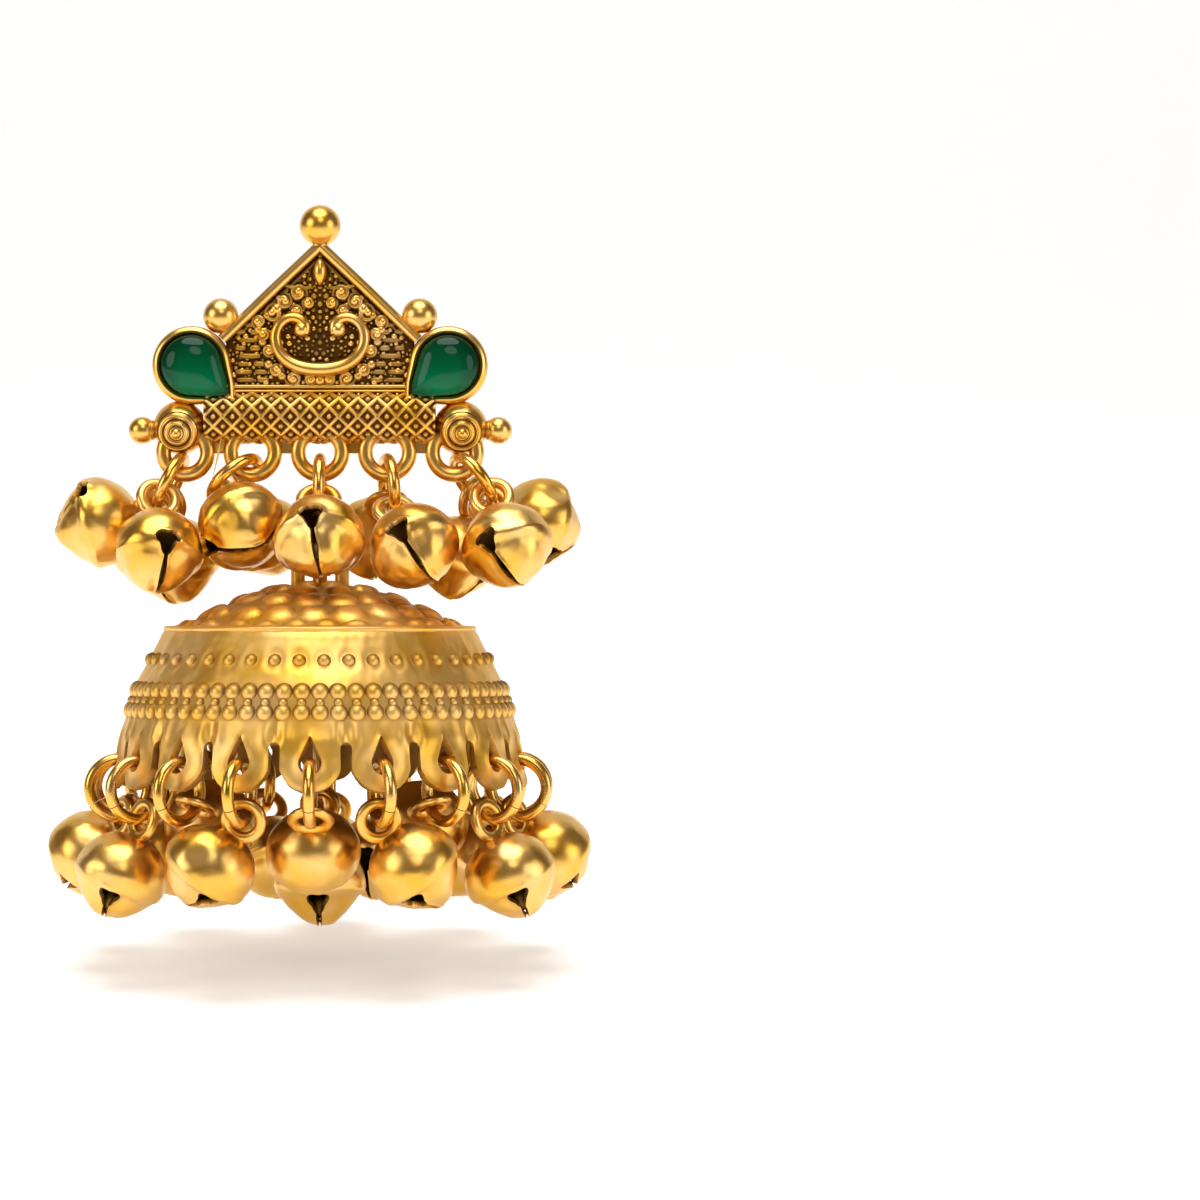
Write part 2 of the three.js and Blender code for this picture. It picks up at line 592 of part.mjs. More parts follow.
const hemSeat = -DOME_HEIGHT + HEM_LIP;
for (let i = 0; i < PETALS; i++) {
  const step = Math.min(i, PETALS - i);
  const side = i <= PETALS / 2 ? 1 : -1;
  const row = hemRows[step % hemRows.length];
  const outward = heading(THREE.MathUtils.radToDeg(petalAzimuth(i)), 0);
  const lipRadius = 0.99 * DOME_RADIUS - DOME_WALL / 2;
  const seat = outward.clone().multiplyScalar(lipRadius).setZ(hemSeat - DOME_WALL / 2 + PLAY);
  const ring = hungRing(seat, DOME_WALL / 2, vec(0, 0, -1), outward);
  const turned = heading(THREE.MathUtils.radToDeg(petalAzimuth(i)) + side * row.sway, 0);
  const lean = rad(row.lean);
  const pointing = turned.multiplyScalar(Math.sin(lean)).add(vec(0, 0, -Math.cos(lean)));
  const number = String(i + 1).padStart(2, "0");
  addPiece(hanging, `hem_ring_${number}`, geometryOf(ring.body), finishes.ring);
  addPiece(hanging, `hem_bell_${number}`, hungBell(ring, row.at, pointing, side * row.roll), finishes.bell);
}

const pinEye = {
  centre: vec(0, 0, -PIN_LENGTH - PIN_EYE),
  down: vec(0, 0, -1),
  sideways: vec(1, 0, 0),
  radius: PIN_EYE,
};
addPiece(hanging, "centre_bell", hungBell(pinEye, 0, vec(0, 0, -1), 0), finishes.bell);

export default group;
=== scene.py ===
import math
import random

import bmesh
import bpy
from mathutils import Matrix, Vector, noise


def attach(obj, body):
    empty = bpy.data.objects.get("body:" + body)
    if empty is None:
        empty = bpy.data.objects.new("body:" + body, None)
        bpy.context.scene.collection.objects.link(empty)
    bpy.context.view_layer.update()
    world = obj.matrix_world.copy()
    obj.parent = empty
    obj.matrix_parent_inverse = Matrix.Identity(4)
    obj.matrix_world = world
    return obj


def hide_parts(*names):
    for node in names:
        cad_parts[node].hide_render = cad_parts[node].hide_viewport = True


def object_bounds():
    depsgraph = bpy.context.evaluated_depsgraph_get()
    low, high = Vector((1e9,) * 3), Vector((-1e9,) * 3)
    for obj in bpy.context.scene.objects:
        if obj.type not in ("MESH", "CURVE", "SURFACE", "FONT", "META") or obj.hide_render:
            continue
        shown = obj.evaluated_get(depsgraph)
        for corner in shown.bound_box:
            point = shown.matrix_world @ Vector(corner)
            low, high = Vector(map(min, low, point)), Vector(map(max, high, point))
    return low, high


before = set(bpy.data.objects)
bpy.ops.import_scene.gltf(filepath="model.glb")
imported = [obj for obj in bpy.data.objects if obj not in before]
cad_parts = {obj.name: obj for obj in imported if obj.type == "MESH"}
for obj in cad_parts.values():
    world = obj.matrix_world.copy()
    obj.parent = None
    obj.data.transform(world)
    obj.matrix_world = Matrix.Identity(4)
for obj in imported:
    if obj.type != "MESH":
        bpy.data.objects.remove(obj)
cad_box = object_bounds()

# Camera. It looks level and straight ahead from the front, half a metre away, as for a
# catalogue picture, with the earring in the left half of the picture.
MM = 0.001
CAMERA_DISTANCE = 475 * MM
VIEW_WIDTH = 98.4 * MM
VIEW_CENTRE = Vector((22.9 * MM, 0, -20.5 * MM))
SENSOR = 36
scene = bpy.context.scene
lens = bpy.data.cameras.new("camera")
lens.sensor_width = SENSOR
lens.lens = SENSOR * CAMERA_DISTANCE / VIEW_WIDTH
lens.clip_start = 10 * MM
camera = bpy.data.objects.new("camera", lens)
camera.location = VIEW_CENTRE + Vector((0, -CAMERA_DISTANCE, 0))
camera.rotation_euler = (math.pi / 2, 0, 0)
scene.collection.objects.link(camera)
scene.camera = camera


# Studio. A white paper sheet falls gently towards the camera and curves up behind the
# earring, under big soft lights from above, from both sides and from high in front.
PAPER = (0.92, 0.915, 0.91, 1)
PAPER_PALE = (0.95, 0.95, 0.95, 1)
COOL_WHITE = (0.93, 0.97, 1, 1)
WARM_ROOM = (1, 0.66, 0.34, 1)
ROOM_STRENGTH = 0.12
FLOOR_DROP = 3.5 * MM  # between the lowest bell and the paper
PAPER_GLOW = 0.42  # light through the paper, so that the page stays white
PAPER_HALF = 900 * MM
PAPER_BACK = 420 * MM
BEND = 160 * MM
SLOPE = 0.13  # the paper falls towards the camera
LIGHTS_AIM = Vector((0, 0, -18))
LIGHTS = [
    {"name": "top", "at": (0, -110, 420), "size": 400, "power": 1.9},
    {"name": "left", "at": (-420, -260, 120), "size": 320, "power": 0.7},
    {"name": "right", "at": (430, -230, 60), "size": 300, "power": 0.5},
    {"name": "front", "at": (60, -520, 330), "size": 260, "power": 0.45},
]


def make_paper():
    """The paper's side profile, drawn out sideways."""
    mesh = bmesh.new()
    floor = cad_box[0][2] - FLOOR_DROP
    steps = 16
    bend = [math.pi / 2 * i / steps for i in range(steps + 1)]
    profile = [(-PAPER_HALF, floor)]
    profile += [(PAPER_BACK + BEND * math.sin(a), floor + BEND * (1 - math.cos(a))) for a in bend]
    profile.append((PAPER_BACK + BEND, floor + 2 * PAPER_HALF))
    line = [mesh.verts.new((-PAPER_HALF, y, z + SLOPE * y)) for y, z in profile]
    edges = [mesh.edges.new(pair) for pair in zip(line, line[1:])]
    drawn = bmesh.ops.extrude_edge_only(mesh, edges=edges)
    moved = [item for item in drawn["geom"] if isinstance(item, bmesh.types.BMVert)]
    bmesh.ops.translate(mesh, vec=(2 * PAPER_HALF, 0, 0), verts=moved)
    bmesh.ops.recalc_face_normals(mesh, faces=mesh.faces)
    return mesh


def make_object(name, mesh, scale=1.0, sharp=math.radians(180)):
    """A finished object from a bmesh, smooth but for edges sharper than the angle."""
    bmesh.ops.scale(mesh, vec=(scale, scale, scale), verts=mesh.verts)
    data = bpy.data.meshes.new(name)
    mesh.to_mesh(data)
    mesh.free()
    data.shade_smooth()
    data.set_sharp_from_angle(angle=sharp)
    thing = bpy.data.objects.new(name, data)
    scene.collection.objects.link(thing)
    return thing


class Socket:
    """A shader socket. Sums and products of sockets and numbers add their Math nodes."""

    def __init__(self, tree, output=None):
        self.tree = tree
        self.output = output

    def node(self, kind, settings=None, inputs=None, output=0):
        """Any other node: its settings first, then the values or links of its sockets."""
        made = self.tree.nodes.new(kind)
        for name, value in (settings or {}).items():
            setattr(made, name, value)
        for name, value in (inputs or {}).items():
            if isinstance(value, Socket):
                self.tree.links.new(value.output, made.inputs[name])
            else:
                made.inputs[name].default_value = value
        return Socket(self.tree, made.outputs[output])

    def math(self, operation, *values, clamp=False):
        settings = {"operation": operation, "use_clamp": clamp}
        return self.node("ShaderNodeMath", settings, dict(enumerate(values)))

    def __add__(self, other):
        return self.math("ADD", self, other)

    def __radd__(self, other):
        return self.math("ADD", other, self)

    def __sub__(self, other):
        return self.math("SUBTRACT", self, other)

    def __rsub__(self, other):
        return self.math("SUBTRACT", other, self)

    def __mul__(self, other):
        return self.math("MULTIPLY", self, other)

    def __rmul__(self, other):
        return self.math("MULTIPLY", other, self)

    def __pow__(self, other):
        return self.math("POWER", self, other)

    def clamped(self):
        return self.math("ADD", self, 0.0, clamp=True)

    def blend(self, first, second):
        """A colour between two, by this socket."""
        ends = {0: self, 6: first, 7: second}
        return self.node("ShaderNodeMix", {"data_type": "RGBA"}, ends, output=2)


def new_material(name):
    """A material with its shader and an empty socket to start expressions from."""
    material = bpy.data.materials.new(name)
    material.use_nodes = True
    tree = material.node_tree
    return material, tree.nodes["Principled BSDF"], Socket(tree)


def plug(shader, values):
    """Sets or links the named sockets of a material's shader."""
    for name, value in values.items():
        if isinstance(value, Socket):
            value.tree.links.new(value.output, shader.inputs[name])
        else:
            shader.inputs[name].default_value = value


paper = make_object("paper_floor", make_paper())
paper_finish, shader, start = new_material("matt_paper")
place = start.node("ShaderNodeTexCoord", output="Object")
fibre = start.node("ShaderNodeTexNoise", inputs={"Vector": place, "Scale": 900.0, "Detail": 3.0})
paper_tone = fibre.blend(PAPER, PAPER_PALE)
plug(shader, {
    "Base Color": paper_tone, "Roughness": 0.9,
    "Emission Color": COOL_WHITE, "Emission Strength": PAPER_GLOW,
})
paper.data.materials.append(paper_finish)

for row in LIGHTS:
    lamp = bpy.data.lights.new(row["name"], "AREA")
    lamp.energy = row["power"]
    lamp.shape = "DISK"
    lamp.size = row["size"] * MM
    light = bpy.data.objects.new(row["name"], lamp)
    light.location = Vector(row["at"]) * MM
    light.rotation_euler = (LIGHTS_AIM - Vector(row["at"])).to_track_quat("-Z", "Y").to_euler()
    scene.collection.objects.link(light)
world = bpy.data.worlds.new("studio")
world.use_nodes = True
room = world.node_tree.nodes["Background"].inputs
room["Color"].default_value = WARM_ROOM
room["Strength"].default_value = ROOM_STRENGTH
scene.world = world
scene.view_settings.view_transform = "Standard"


# Jump rings: round gold plated brass wire of 1 mm, bent round and butted shut. Five
# hang in the crown's loops and eighteen through the teardrops of the dome's petals.
PLAY = 0.2  # between two wires that hang in each other, as all sizes here in millimetres
RING_RADIUS = 2.35
RING_WIRE = 0.5
LOOP_RADIUS = 1.8
LOOP_WIRE = 0.62
LOOP_PITCH = 5.5
LOOP_DROP = 8.45
LOOP_FRONT = 1.2
DOME_RADIUS = 17.05
DOME_HEIGHT = 16.6
DOME_WALL = 0.8
PETALS = 18
HEM_LIP = 1.35
EYE_WIRE = 0.6
EYE_RISE = 7.35
RING_FOOT = LOOP_DROP + LOOP_RADIUS + 2 * RING_RADIUS - 2 * RING_WIRE - LOOP_WIRE - PLAY
DOME_TOP = RING_FOOT - PLAY - 2 * EYE_WIRE + EYE_RISE
HANGING = Vector((0, -LOOP_FRONT, -DOME_TOP))
BUTT = math.radians(0.7)

crown_rings = [
    {"name": "ring_far_left", "loop": -2, "lean": -26, "forward": 2, "turn": 8},
    {"name": "ring_left", "loop": -1, "lean": -35, "forward": -34, "turn": 28},
    {"name": "ring_middle", "loop": 0, "lean": 0, "forward": 0, "turn": 0},
    {"name": "ring_right", "loop": 1, "lean": 3, "forward": -8, "turn": -13},
    {"name": "ring_far_right", "loop": 2, "lean": 33, "forward": -7, "turn": -26},
]


def paint_shade(mesh, first, recess):
    """Writes the painted shade of each vertex from the first on, for how deep in a hollow
    it lies: a share or a function of its place."""
    layer = mesh.verts.layers.float.get("recess") or mesh.verts.layers.float.new("recess")
    mesh.verts.ensure_lookup_table()
    for vert in mesh.verts[first:]:
        vert[layer] = recess(vert.co) if callable(recess) else recess


def wire_ring(radius, wire, gap=0.0, steps=48, sides=12):
    """A round wire ring about Z, butted shut where it has a gap."""
    mesh = bmesh.new()
    stand = Matrix.Translation((radius, 0, 0)) @ Matrix.Rotation(math.pi / 2, 4, "X")
    section = bmesh.ops.create_circle(mesh, segments=sides, radius=wire, matrix=stand)
    bmesh.ops.rotate(mesh, matrix=Matrix.Rotation(gap, 3, "Z"), verts=section["verts"])
    bmesh.ops.spin(
        mesh, geom=list(mesh.edges), axis=(0, 0, 1), cent=(0, 0, 0), steps=steps,
        angle=2 * math.pi - 2 * gap, use_merge=gap == 0, dvec=(0, 0, 0),
    )
    if gap:
        bmesh.ops.holes_fill(mesh, edges=[edge for edge in mesh.edges if edge.is_boundary])
    else:
        bmesh.ops.remove_doubles(mesh, verts=mesh.verts, dist=wire / 50)
    bmesh.ops.recalc_face_normals(mesh, faces=mesh.faces)
    return mesh


def standing(axis, up, at):
    """A matrix that turns Z to an axis and X as near as it can to `up`, then moves."""
    z = axis.normalized()
    x = (up - z * up.dot(z)).normalized()
    turn = Matrix((x, z.cross(x), z)).transposed()
    return Matrix.Translation(at) @ turn.to_4x4()


def hung_ring(wire_point, wire, down, across):
    """Where a ring hangs in a wire: `down` points to its far side."""
    sideways = (across - down * across.dot(down)).normalized()
    centre = wire_point + down * (RING_RADIUS - RING_WIRE - wire - PLAY)
    return {"centre": centre, "down": down, "sideways": sideways, "radius": RING_RADIUS}


def add_part(mesh, part, matrix=Matrix.Identity(4), recess=None):
    """Moves a part into a mesh, in its place, and gives its painted shade value where one is due."""
    bmesh.ops.transform(part, matrix=matrix, verts=part.verts)
    if recess is not None:
        paint_shade(part, 0, recess)
    data = bpy.data.meshes.new("part")
    part.to_mesh(data)
    mesh.from_mesh(data)
    bpy.data.meshes.remove(data)


GOLD = (0.8, 0.44, 0.055, 1)
PALE_GOLD = (0.9, 0.61, 0.25, 1)
# Dark brown of the painted shade in hollows, inside and where parts meet.
PAINTED_SHADE_BROWN = (0.1, 0.035, 0.004, 1)


def gilt(name, shine, dents, painted_shade_depth=0.9):
    """Gold plate over brass: warm gold, paler in random patches where it is rubbed bright, with a
    fine satin grain, shallow beating marks, and painted shade in dark brown where the vertices' shade
    value says."""
    material, shader, start = new_material(name)
    place = start.node("ShaderNodeTexCoord", output="Object")
    recess = start.node("ShaderNodeAttribute", {"attribute_name": "recess"}, output="Fac")
    cloud = start.node("ShaderNodeTexNoise", inputs={"Vector": place, "Scale": 260.0, "Detail": 4.0})
    grain = start.node("ShaderNodeTexNoise", inputs={"Vector": place, "Scale": 5200.0, "Detail": 2.0})
    beaten = start.node("ShaderNodeTexNoise", inputs={"Vector": place, "Scale": 620.0, "Detail": 1.5})
    rubbed = ((cloud - 0.35) * 2.2).clamped()
    metal = rubbed.blend(GOLD, PALE_GOLD)
    # Painted shade: the vertices' shade value, broken up by the cloud, mixes the gold towards dark brown
    # and roughens it.
    painted_shade_amount = (recess * (0.8 + 0.5 * cloud)).clamped() * painted_shade_depth
    colour = painted_shade_amount.blend(metal, PAINTED_SHADE_BROWN)
    rough = shine + 0.1 * cloud + 0.06 * grain + 0.3 * painted_shade_amount
    relief = dents * beaten + 0.02 * grain
    bump = start.node("ShaderNodeBump", inputs={"Height": relief, "Strength": 0.35, "Distance": 0.2 * MM})
    plug(shader, {"Base Color": colour, "Metallic": 1.0, "Roughness": rough, "Normal": bump})
    return material


ring_gilt = gilt("bright_gilt_wire", shine=0.18, dents=0.2)


def make_ring(name, ring):
    mesh = wire_ring(RING_RADIUS, RING_WIRE * 0.97, BUTT)
    axis = ring["down"].cross(ring["sideways"])
    place = standing(axis, ring["down"] * 0.6 + ring["sideways"], ring["centre"])
    bmesh.ops.transform(mesh, matrix=place, verts=mesh.verts)
    paint_shade(mesh, 0, 0.0)
    made = make_object(f"{name}_wire", mesh, MM, math.radians(40))
    made.data.materials.append(ring_gilt)
    return made


def heading(azimuth, dip):
    """A direction: azimuth 0 is the front and 90 the right, dip is below level."""
    a, d = math.radians(azimuth), math.radians(dip)
    return Vector((math.cos(d) * math.sin(a), -math.cos(d) * math.cos(a), -math.sin(d)))


hung = []
for row in crown_rings:
    lean, forward, turn = (math.radians(row[key]) for key in ("lean", "forward", "turn"))
    side = Vector((math.sin(lean), 0, -math.cos(lean)))
    loop = Vector((row["loop"] * LOOP_PITCH, -LOOP_FRONT, -LOOP_DROP))
    down = side * math.cos(forward) + Vector((0, -math.sin(forward), 0))
    across = Vector((math.sin(turn), math.cos(turn), 0))
    ring = hung_ring(loop + side * LOOP_RADIUS, LOOP_WIRE, down, across)
    hung.append(ring)
    piece = make_ring(row["name"], ring)
    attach(piece, "link" if row["name"] == "ring_middle" else "crown_body")
    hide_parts(row["name"])

hem_rings = []
for i in range(PETALS):
    outward = heading(360 * i / PETALS, 0)
    seat = outward * (0.99 * DOME_RADIUS - DOME_WALL / 2) + HANGING
    seat.z += -DOME_HEIGHT + HEM_LIP - DOME_WALL / 2 + PLAY
    ring = hung_ring(seat, DOME_WALL / 2, Vector((0, 0, -1)), outward)
    hem_rings.append(ring)
    piece = make_ring(f"hem_ring_{i + 1:02d}", ring)
    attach(piece, "drop")
    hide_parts(f"hem_ring_{i + 1:02d}")


# Round jingle bells, beaten up from thin brass sheet: a full top under a flat wire eye, a
# fold round the middle, and a lower half that narrows to the slit and its two holes. A
# loose iron ball lies inside. No two are dented alike.
BELL_RADIUS = 3.8
BELL_SHEET = 0.42
BELL_ACROSS = 72
BELL_DOWN = 36
SLIT_HALF = 0.27
HOLE_RADIUS = 1.0
CROWN_HOLE = -8  # degrees above the bell's middle, where the slit ends in a hole
HEM_HOLE = -24
BAIL_RADIUS = 1.9
BAIL_HOLE = 1.3
BAIL_SINK = 0.6
BAIL_SLACK = 0.66
BAIL_REACH = BELL_RADIUS + BAIL_RADIUS - BAIL_SINK
BELL_REACH = BAIL_REACH + BAIL_HOLE - RING_WIRE - BAIL_SLACK
BALL_RADIUS = 1.1
DENTS = 8

crown_bells = [
    {"name": "bell_far_left", "ring": 0, "at": 1, "azimuth": -95, "dip": 12, "roll": 40},
    {"name": "bell_left_front", "ring": 0, "at": -51, "azimuth": 3, "dip": 62, "roll": 90},
    {"name": "bell_left_back", "ring": 0, "at": 52, "azimuth": 158, "dip": 72, "roll": 90},
    {"name": "bell_left_high", "ring": 1, "at": -3, "azimuth": 26, "dip": 27, "roll": 60},
    {"name": "bell_left_hidden", "ring": 1, "at": 50, "azimuth": 146, "dip": 53, "roll": 90},
    {"name": "bell_middle", "ring": 2, "at": -66, "azimuth": 3, "dip": 42, "roll": 80},
    {"name": "bell_right_front", "ring": 3, "at": -45, "azimuth": 26, "dip": 39, "roll": 60},
    {"name": "bell_right_hidden", "ring": 3, "at": 49, "azimuth": -167, "dip": 36, "roll": 90},
    {"name": "bell_far_right_front", "ring": 4, "at": -45, "azimuth": 27, "dip": 55, "roll": 60},
    {"name": "bell_far_right", "ring": 4, "at": 6, "azimuth": 119, "dip": 16, "roll": 40},
    {"name": "bell_far_right_back", "ring": 4, "at": 60, "azimuth": -101, "dip": 74, "roll": 90},
]

hem_rows = [
    {"at": -27, "lean": -58, "sway": 0, "roll": 90},
    {"at": -26, "lean": 39, "sway": 93, "roll": 60},
    {"at": -60, "lean": 70, "sway": 149, "roll": 90},
    {"at": -14, "lean": 23, "sway": 44, "roll": 40},
    {"at": -7, "lean": 50, "sway": 55, "roll": 40},
    {"at": -33, "lean": -40, "sway": -8, "roll": 90},
    {"at": 0, "lean": 37, "sway": -34, "roll": 60},
    {"at": 0, "lean": 37, "sway": 34, "roll": 60},
    {"at": -27, "lean": -32, "sway": 0, "roll": 90},
    {"at": 3, "lean": 33, "sway": 0, "roll": 90},
]


def cut_open(mesh, distance):
    """Cuts an opening with a clean edge out of a sheet. `distance` is how far a place lies
    outside the opening's line."""
    away = {vert: distance(vert.co) for vert in mesh.verts}
    line = []
    for edge in list(mesh.edges):
        a, b = edge.verts
        if away[a] * away[b] < 0:
            share = away[a] / (away[a] - away[b])
            crossing = a.co.lerp(b.co, min(max(share, 0.04), 0.96))
            _, vert = bmesh.utils.edge_split(edge, a, 0.5)
            vert.co = crossing
            line.append(vert)
    bmesh.ops.connect_verts(mesh, verts=line)
    inside = [face for face in mesh.faces if distance(face.calc_center_median()) < 0]
    bmesh.ops.delete(mesh, geom=inside, context="FACES")


def smooth_step(low, high, value):
    share = min(max((value - low) / (high - low), 0), 1)
    return share * share * (3 - 2 * share)


def thicken(mesh, thickness, inside, centre):
    """Gives an open sheet its wall, inwards from `centre`'s far side, and paints shade on the inside."""
    layer = mesh.verts.layers.float["recess"]
    bmesh.ops.recalc_face_normals(mesh, faces=mesh.faces)
    if sum(face.normal.dot(face.calc_center_median() - centre) for face in mesh.faces) < 0:
        bmesh.ops.reverse_faces(mesh, faces=mesh.faces)
    outside = {vert.co.to_tuple(5) for vert in mesh.verts}
    bmesh.ops.solidify(mesh, geom=list(mesh.faces), thickness=thickness)
    # The new inside wall gets the painted shade given in `inside`.
    for vert in mesh.verts:
        if vert.co.to_tuple(5) not in outside:
            vert[layer] = inside


def keyhole(place, hole):
    """Distance outside the slit and its holes, on a bell of radius 1 with its top at +Y."""
    around = math.atan2(place.y, abs(place.x))
    size = HOLE_RADIUS / BELL_RADIUS
    up = around - math.radians(hole)
    side = math.atan2(place.z, up)
    out = math.hypot(place.z, up) - size * (1 - 0.2 * math.cos(3 * side))
    if up > 0:
        return out
    widen = 1 + 0.3 * math.sin(5 * around)
    return min(out, abs(place.z) - widen * SLIT_HALF / BELL_RADIUS)


def pierced_ball(hole):
    """A ball of radius 1, finer near the slit, with the slit and its holes cut out."""
    mesh = bmesh.new()
    bmesh.ops.create_uvsphere(mesh, u_segments=BELL_ACROSS, v_segments=BELL_DOWN, radius=1)
    cell = 2 * math.pi / BELL_ACROSS
    near = [
        edge for edge in mesh.edges
        if max(keyhole(vert.co, hole) for vert in edge.verts) < 1.6 * cell
    ]
    bmesh.ops.subdivide_edges(mesh, edges=near, cuts=2, use_grid_fill=True)
    for vert in mesh.verts:
        vert.co.normalize()
    cut_open(mesh, lambda place: keyhole(place, hole))
    return mesh


pierced = {hole: pierced_ball(hole) for hole in (CROWN_HOLE, HEM_HOLE)}


def hill(value, width):
    """A soft rise of height 1 about zero."""
    return math.exp(-((value / width) ** 2))


def beaten_bell(seed, roll, hole):
    """A bell at the origin, its top at +Y and its wire eye's hole along Z."""
    chance = random.Random(seed)
    mesh = pierced[hole].copy()
    dents = [
        {
            "at": Vector([chance.gauss(0, 1) for _ in range(3)]).normalized(),
            "width": chance.uniform(0.3, 0.75),
            "depth": chance.uniform(0.03, 0.1) * chance.choice((1, 1, 0.6, -0.3)),
        }
        for _ in range(DENTS)
    ]
    drift = Vector([chance.uniform(0, 50) for _ in range(3)])
    for vert in mesh.verts:
        place = vert.co.normalized()
        size = 1.0 + 0.035 * noise.noise(1.7 * place + drift) + 0.012 * noise.noise(5 * place + drift)
        for dent in dents:
            share = (place - dent["at"]).length / dent["width"]
            size -= dent["depth"] * math.exp(-share * share * 1.6)
        low = max(-place.y, 0)
        narrow = 1 - 0.34 * low ** 1.2
        edge = keyhole(place, hole)
        size *= 1 - 0.06 * hill(edge, 0.3) + 0.03 * hill(edge, 0.07)
        size += 0.05 * hill(place.y + 0.12, 0.075)
        size -= 0.045 * smooth_step(-0.16, -0.3, place.y)
        shape = Vector((place.x * narrow, place.y, place.z * narrow))
        vert.co = shape * min(size, 1.0) * BELL_RADIUS
    paint_shade(mesh, 0, 0.0)
    # Painted shade inside the bell.
    thicken(mesh, BELL_SHEET, 0.85, Vector((0, 0, 0)))
    bmesh.ops.rotate(mesh, matrix=Matrix.Rotation(math.radians(roll), 3, "Y"), verts=mesh.verts)
    eye = wire_ring((BAIL_RADIUS + 0.95) / 2, (BAIL_RADIUS - 0.95) / 2, steps=28, sides=10)
    flat = Matrix.Diagonal((1, 1, 0.8, 1))
    add_part(mesh, eye, Matrix.Translation((0, BAIL_REACH, 0)) @ flat)
    bead = bmesh.new()
    bmesh.ops.create_icosphere(bead, subdivisions=2, radius=BALL_RADIUS)
    rest = Vector((0, -0.45 * BELL_RADIUS, 0))
    # Painted shade on the ball, which lies in shade inside the bell.
    add_part(mesh, bead, Matrix.Translation(rest), 0.75)
    return mesh


bell_gilt = gilt("beaten_gilt_bell", shine=0.23, dents=0.5)


def hang_bell(name, ring, at, pointing, roll, seed, hole):
    """A bell on its ring: `at` is the place round the ring from its far side."""
    angle = math.radians(at)
    radial = ring["down"] * math.cos(angle) + ring["sideways"] * math.sin(angle)
    tangent = ring["sideways"] * math.cos(angle) - ring["down"] * math.sin(angle)
    centre = ring["centre"] + radial * ring["radius"] + pointing * BELL_REACH
    up = -pointing
    axis = (tangent - up * tangent.dot(up)).normalized()
    turn = Matrix((up.cross(axis), up, axis)).transposed()
    mesh = beaten_bell(seed, roll, hole)
    bmesh.ops.transform(mesh, matrix=Matrix.Translation(centre) @ turn.to_4x4(), verts=mesh.verts)
    made = make_object(f"{name}_beaten", mesh, MM, math.radians(50))
    made.data.materials.append(bell_gilt)
    return made


for i, row in enumerate(crown_bells):
    pointing = heading(row["azimuth"], row["dip"])
    ring = hung[row["ring"]]
    piece = hang_bell(row["name"], ring, row["at"], pointing, row["roll"], 100 + i, CROWN_HOLE)
    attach(piece, "link" if row["name"] == "bell_middle" else "crown_body")
    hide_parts(row["name"])

for i in range(PETALS):
    row = hem_rows[min(i, PETALS - i)]
    side = 1 if i <= PETALS / 2 else -1
    turned = heading(360 * i / PETALS + side * row["sway"], 0)
    lean = math.radians(row["lean"])
    pointing = turned * math.sin(lean) + Vector((0, 0, -math.cos(lean)))
    name = f"hem_bell_{i + 1:02d}"
    piece = hang_bell(name, hem_rings[i], row["at"], pointing, side * row["roll"], 200 + i, HEM_HOLE)
    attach(piece, "drop")
    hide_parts(name)


# Pin through the dome's top: a brass wire with a flat head above the dome and an eye at
# its foot, where the middle bell hangs.
PIN_WIRE = 0.6
PIN_LENGTH = 17.0
PIN_HEAD = 0.9
PIN_EYE = 1.2
COBBLE_RISE = 0.22
GAP = 0.3


def round_bar(mesh, start_at, end_at, radius, sides=16, recess=0.0, end_radius=None):
    """Adds a round bar, or a cone, between two points."""
    first = len(mesh.verts)
    along = end_at - start_at
    turn = Vector((0, 0, 1)).rotation_difference(along).to_matrix().to_4x4()
    place = Matrix.Translation((start_at + end_at) / 2) @ turn
    tip = radius if end_radius is None else end_radius
    bmesh.ops.create_cone(
        mesh, cap_ends=True, segments=sides, radius1=radius, radius2=tip,
        depth=along.length, matrix=place,
    )
    paint_shade(mesh, first, recess)


pin = bmesh.new()
head_at = COBBLE_RISE + GAP
round_bar(pin, Vector((0, 0, head_at)), Vector((0, 0, head_at + 0.7)), PIN_HEAD, 20)
# The pin's shaft, inside the dome, gets painted shade.
round_bar(pin, Vector((0, 0, head_at + 0.1)), Vector((0, 0, -PIN_LENGTH - 0.2)), PIN_WIRE, recess=0.3)
bmesh.ops.bevel(
    pin, geom=list(pin.edges), offset=0.08, segments=2, affect="EDGES", profile=0.5, material=-1,
)
eye = wire_ring(PIN_EYE, RING_WIRE * 0.97, steps=32)
upright = Matrix.Translation((0, 0, -PIN_LENGTH - PIN_EYE)) @ Matrix.Rotation(math.pi / 2, 4, "X")
add_part(pin, eye, upright)
bmesh.ops.translate(pin, vec=HANGING, verts=pin.verts)
piece = make_object("centre_pin_wire", pin, MM, math.radians(40))
piece.data.materials.append(ring_gilt)
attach(piece, "drop")
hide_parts("centre_pin")

pin_eye = {
    "centre": HANGING + Vector((0, 0, -PIN_LENGTH - PIN_EYE)),
    "down": Vector((0, 0, -1)),
    "sideways": Vector((1, 0, 0)),
    "radius": PIN_EYE,
}
piece = hang_bell("centre_bell", pin_eye, 0, Vector((0, 0, -1)), 0, 300, HEM_HOLE)
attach(piece, "drop")
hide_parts("centre_bell")


# Stones: two pear cabochons of deep green glass over foil, with a polished dome, held by
# the rims of their settings. Their colour is painted darker to the girdle and lighter low down.
STONE_RADIUS = 2.46
STONE_TIP = 4.2
STONE_RISE = 1.3
STONE_GIRDLE = 0.7
STONE_BACK = 1.2
BEZEL_OUT = 10.5
BEZEL_DROP = 1.3
BEZEL_WALL = 0.75
PEAR_LEAN = math.radians(-39)
GLASS_DEEP = (0.0, 0.015, 0.004, 1)
